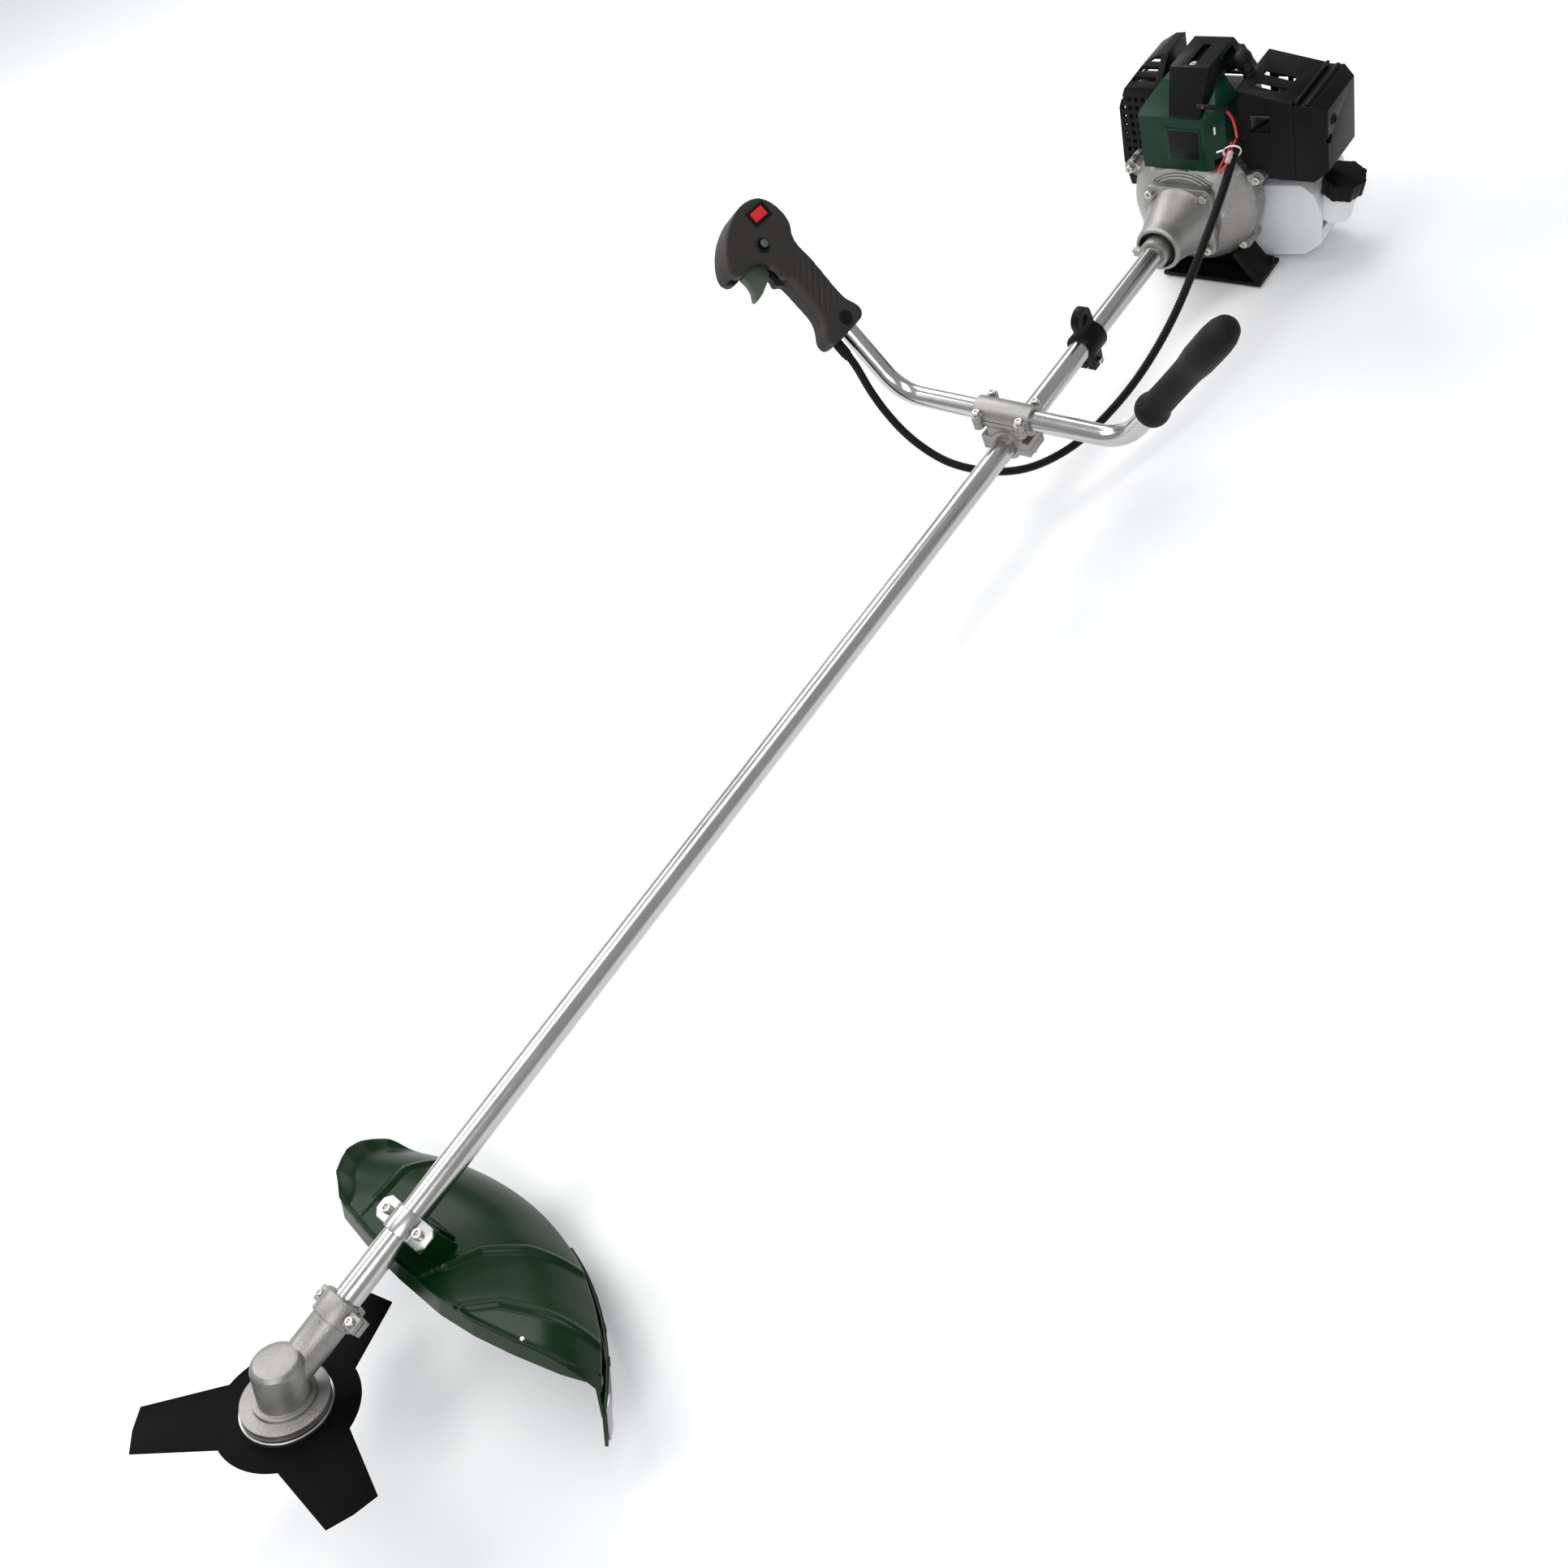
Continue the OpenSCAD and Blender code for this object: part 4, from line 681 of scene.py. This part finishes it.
grip = melt(solid(outline, 35.5, flat(ARM, 17.75), "grip"), 1.15, 26)
back = ARM.inverted()
for v in grip.data.vertices:
    x, y, z = back @ v.co
    # The grip narrows towards its base
    y *= 0.8 + 0.2 * smooth(100, 190, z)
    if y < -9 and 122 < z < 188:
        # Slanted ribs on the palm side
        wave = math.cos(2 * math.pi * (z - x - 131) / 10.8)
        inside = smooth(122, 128, z) * smooth(188, 182, z) * smooth(-20, -16, x) * smooth(13.5, 10, x)
        y += 1.15 * smooth(0.55, 0.95, wave) * inside * smooth(-9, -12, y)
    v.co = ARM @ Vector((x, y, z))
cavity = [(18, 232), (17, 254), (9, 262), (-6, 267), (-30, 264), (-52, 253), (-70, 240), (-75, 229),
          (-71, 222.5), (-58, 223.5), (-44, 220.5), (-33, 211), (-25, 197), (-23, 188), (7, 188), (7, 212)]
up = ARM @ Matrix.Translation((0, 0, 80))
cut(grip,
    solid(cavity, 24, flat(ARM, 12)),
    solid(circle(0, 0, 11.55, 48), 104, up),
    solid(circle(-24, 0, 5.7), 27, up),
    solid(box(-84, -22, 172, 223), 12.8, flat(ARM, 6.4)),
    solid(box(3, 44, 183, 228), 11, flat(ARM, 5.5)),
    solid(circle(-27, 226, 5.4), 14, flat(ARM, -8)),
    solid(box(-14.6, 8.6, 247.5, 260.5), 14, flat(ARM, -8)))
for name, node, sign in (("grip_half_front", "throttle_shell_front", -1),
                         ("grip_half_back", "throttle_shell_back", 1)):
    bm = bmesh.new()
    bm.from_mesh(grip.data)
    bmesh.ops.bisect_plane(bm, geom=bm.verts[:] + bm.edges[:] + bm.faces[:],
                           plane_co=ARM @ Vector((0, 0.2 * sign, 0)),
                           plane_no=ARM.to_3x3() @ Vector((0, sign, 0)), clear_inner=True)
    mesh = bpy.data.meshes.new(name)
    bm.to_mesh(mesh)
    bm.free()
    half = bpy.data.objects.new(name, mesh)
    bpy.context.scene.collection.objects.link(half)
    settle(finish_mesh(half, crease=50), "grip_plastic", "frame", node)
bpy.data.objects.remove(grip)
for name, x, z, y, rings in (
        ("grip_screw_boss", -2, 106, -14.0, [(8.6, 0), (8.6, 1.6), (8.0, 2.3), (7.2, 2.3), (6.6, 1.5),
                                             (5.6, 1.3), (5.2, 2.0),
                                             (4.4, 2.0), (4.0, 1.0), (2.6, 0.9), (2.4, 0.3), (0, 0.3)]),
        ("button_bezel", -27, 226, -16.2, [(5.25, -1), (5.25, 2.6), (5.9, 3.2), (7.4, 3.2), (8.4, 2.2),
                                           (9.4, 1.4), (9.6, -1)])):
    lathe(name, "loom_black", rings, flat(ARM, y) @ Matrix.Translation((x, z, 0)))
bezel = cut(solid(box(-17.5, 11.5, 244.6, 263.4), 3.2, flat(ARM, -16.4), "switch_bezel"),
            solid(box(-14.4, 8.4, 247.6, 260.4), 6, flat(ARM, -15)))
settle(finish_mesh(bezel, bevel=0.0007), "loom_black")
lathe("button_cap", "lever_green", [(0, 1.2), (3.4, 1.1), (4.3, 0.5), (4.6, -0.4), (4.6, -1)],
      flat(ARM, -23.2) @ Matrix.Translation((-27, 226, 0)), body="button")
rounded("screws", "zinc_screws", 0.35, "socket_screws", segments=2, without=ARM @ Vector((-2, -17.5, 106)))

# ---------- plain grip ----------
settle(lathe("hand_grip", "grip_rubber", [
    (11.6, 51.5), (15.5, 51.5), (17.6, 53), (18.6, 56), (18.9, 60), (18.2, 64), (16.4, 67.5), (15.6, 71),
    (15.3, 90),
    (15.2, 112), (15.5, 130), (16.6, 140), (18.2, 148), (19.4, 156), (19.9, 166), (19.8, 178), (18.8, 187),
    (16, 195), (11, 200.5), (5, 202.8), (0, 203)], arm(-1), sides=72,
    wobble=lambda a, r, h: r * (1 + 0.11 * smooth(140, 160, h) * math.cos(2 * a)) - (
        0.5 * (1 if 72 < h < 132 and math.cos(a * 24) > 0 else 0))), "grip_rubber", "frame", "plain_grip")

# ---------- engine details ----------
plate = at(1605.9, -7.5, 91, turn_y=-90)
block("plate_frame", "shroud_green", (41, 44, 1.6), plate @ Matrix.Translation((0, 0, 0.2)), 0.7)
block("data_plate", "plate_dark", (35, 38, 1.0), plate @ Matrix.Translation((0, 0, 1.2)), 0.4)
block("facet_tab", "tie_white", (9, 2.4, 0.8), at(1613.8, -43.4, 106, turn_z=-135,
                                                  turn_y=0) @ Matrix.Rotation(math.radians(90), 4, "Y"), 0.2)
sweep("boot_elbow", "rubber_black", spline([(1673, -52, 156), (1669.5, -58.5, 149), (1667, -62.5, 140),
                                            (1666, -63.5, 136)], 0.8),
      lambda s: 7.6 - 1.6 * s + (0.5 if round(s * 9) % 2 else 0), sides=24)
sweep("ignition_lead", "loom_black", spline([(1666.5, -63, 139), (1664, -63.5, 133), (1656, -61.5, 129.5),
                                             (1645, -58.5, 130),
                                             (1633, -57, 131.5), (1622, -57.5, 133), (1612.5, -59.5, 134)],
                                             1.5), 2.7, sides=14)
for k, (x, r) in enumerate(((1600.9, 50.6), (1603.0, 53.4), (1605.0, 56.0))):
    arc = [math.radians(-42 + 84 * i / 40) for i in range(41)]
    sweep("fan_step_%d" % k, "cast_alloy", [(x, r * math.sin(a), r * math.cos(a)) for a in arc], 1.7,
          sides=10)
for k, (y, z, long, size) in enumerate(((-131.5, 130.4, 80, 4.6), (-143.5, 128.8, 78, 5.6),
                                        (-157, 121, 66, 4.6))):
    block("filter_rib_%d" % k, "black_plastic", (long, size, 4.6), at(1675, y, z, turn_x=-14), 1.6)
lathe("filter_hole_rim", "black_plastic", [(3.6, -2), (3.6, 0.8), (4.6, 1.3), (5.8, 0.8), (6.2, -1)],
      at(1656.5, -164.2, 101, turn_x=90))

# ---------- recoil starter ----------
lathe("label_disc", "label_white", [(0, 0.9), (31.8, 0.9), (32.6, 0.6), (33, 0)],
      at(1736.05, 0, 0, turn_y=90), sides=96)
lathe("starter_rim", "black_plastic", [(34.2, -0.4), (34.6, 0.6), (36.2, 0.9), (38.0, 0.2), (38.4, -0.8)],
      at(1736.0, 0, 0, turn_y=90), sides=96)
PULL = at(1746, -79, 56, turn_x=30)
bar = sweep("pull_bar", "rubber_black", [(0, -38 + 76 * i / 40,
                                          1.6 * (1 - ((i - 20) / 20) ** 2)) for i in range(41)],
            lambda s: 8.8 * (1 - abs(2 * s - 1) ** 7) ** 0.5 * (0.9 + 0.1 * abs(2 * s - 1)) + 0.05,
            place=PULL, sides=28, body="pull_handle", oval=1.02)
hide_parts("starter_handle")
lathe("pull_stem", "rubber_black", [(0, -26), (4.6, -26), (5.6, -25), (5.6, -22.5), (5.0, -22), (5.2, -19.5),
                                    (6.0, -19),
                                    (6.1, -16.6), (5.5, -16), (5.8, -13.6), (6.6, -13), (7.0, -8), (7.6, -2),
                                    (7.2, 2)],
      PULL, body="pull_handle")
lathe("rope_guide", "black_plastic", [(3.1, 5), (3.1, 7.6), (5.6, 8.0), (7.6, 7.4), (8.2, 6), (7.6, 4.8),
                                      (8.8, 4), (8.8, 1), (8.0, 0.2), (9.2, -1), (9.4, -5)], at(1746, -61, 25,
                                              turn_x=30) @ Matrix.Translation((0, 0, -2.6)))
rope_base = at(1746, -61, 25, turn_x=30)
rope = sweep("pull_rope", "rope_white", [(0, 0, -8 + 17.6 * i / 60) for i in range(61)],
             lambda s: 1.9 + 0.12 * math.sin(s * 60), place=rope_base, sides=12, body=None)
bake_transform(rope)
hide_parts("starter_rope")

# ---------- fuel lines and small fittings ----------
hose = sweep("return_hose", "hose_clear", spline([(1690, -84, 11), (1690, -82, 20), (1690, -84, 32),
                                                  (1688, -88, 44),
                                                 (1684, -88, 56), (1681, -86.4, 64.2)], 1.2), 2.5, sides=20)
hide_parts("fuel_hoses")
sweep("feed_hose", "hose_yellow", spline([(1690, -96, 11), (1690, -100, 20), (1690, -104, 32),
                                          (1688, -104, 44), (1682, -98, 56),
                                          (1677.5, -95, 64.2)], 1.2), 2.5, sides=20)
lathe("tank_grommet", "rubber_black", [(0, 5.4), (9, 5.4), (12, 5.2), (13, 4.2), (13, 2.6), (11.6, 2),
                                       (11.6, 1), (14, 0.4), (14, -0.6)],
      at(1690, -90, 8.4))
bracket = [(-25, 3), (-25, -3), (-21, -3), (-21, -5.5), (-17, -5.5), (-17, -3),
           (17, -3), (17, -5.5), (21, -5.5), (21, -3), (25, -3), (25, 3)]
prism("starter_bracket", "stamped_alloy", bracket, 2.4, at(1741.2, -5, -60, turn_z=90, turn_x=90), 0.5)

# ---------- floor and light ----------
floor = bpy.data.objects.new("floor", bpy.data.meshes.new("floor"))
floor.data.from_pydata([(-9, -9, 0), (9, -9, 0), (9, 9, 0), (-9, 9, 0)], [], [[0, 1, 2, 3]])
bpy.context.scene.collection.objects.link(floor)
floor.data.materials.append(pbr("floor_paint", (0.86, 0.86, 0.855), rough=0.75, vary=0.008, broad=1.5,
                                grain=300, bump=0.02, edge=0.0))
floor.location.z = -0.001
world = bpy.data.worlds.new("studio")
bpy.context.scene.world = world
world.use_nodes = True
world.node_tree.nodes["Background"].inputs[0].default_value = (0.93, 0.95, 1.0, 1)
world.node_tree.nodes["Background"].inputs[1].default_value = 0.46
bpy.context.scene.view_settings.view_transform = "Standard"


def softbox(name, place, aim, size, power):
    """A rectangular area light at a place, aimed at a point, in metres and watts."""
    data = bpy.data.lights.new(name, "AREA")
    data.shape, data.size, data.size_y, data.energy = "RECTANGLE", size[0], size[1], power
    obj = bpy.data.objects.new(name, data)
    bpy.context.scene.collection.objects.link(obj)
    obj.location = place
    obj.rotation_mode = "QUATERNION"
    obj.rotation_quaternion = (Vector(aim) - Vector(place)).to_track_quat("-Z", "Y")


for light in (("key", (-1.6, -1.6, 2.4), (0, 0, 0.1), (1.5, 1.5), 37),
              ("rim", (1.8, 1.9, 1.9), (0.3, 0, 0.1), (1.8, 1.0), 34),
              ("top", (0.2, 0.3, 2.6), (0.1, 0, 0), (2.6, 0.7), 28),
              ("back", (-0.6, 3.4, 2.6), (-0.8, 3.0, 0), (3.0, 2.4), 85)):
    softbox(*light)
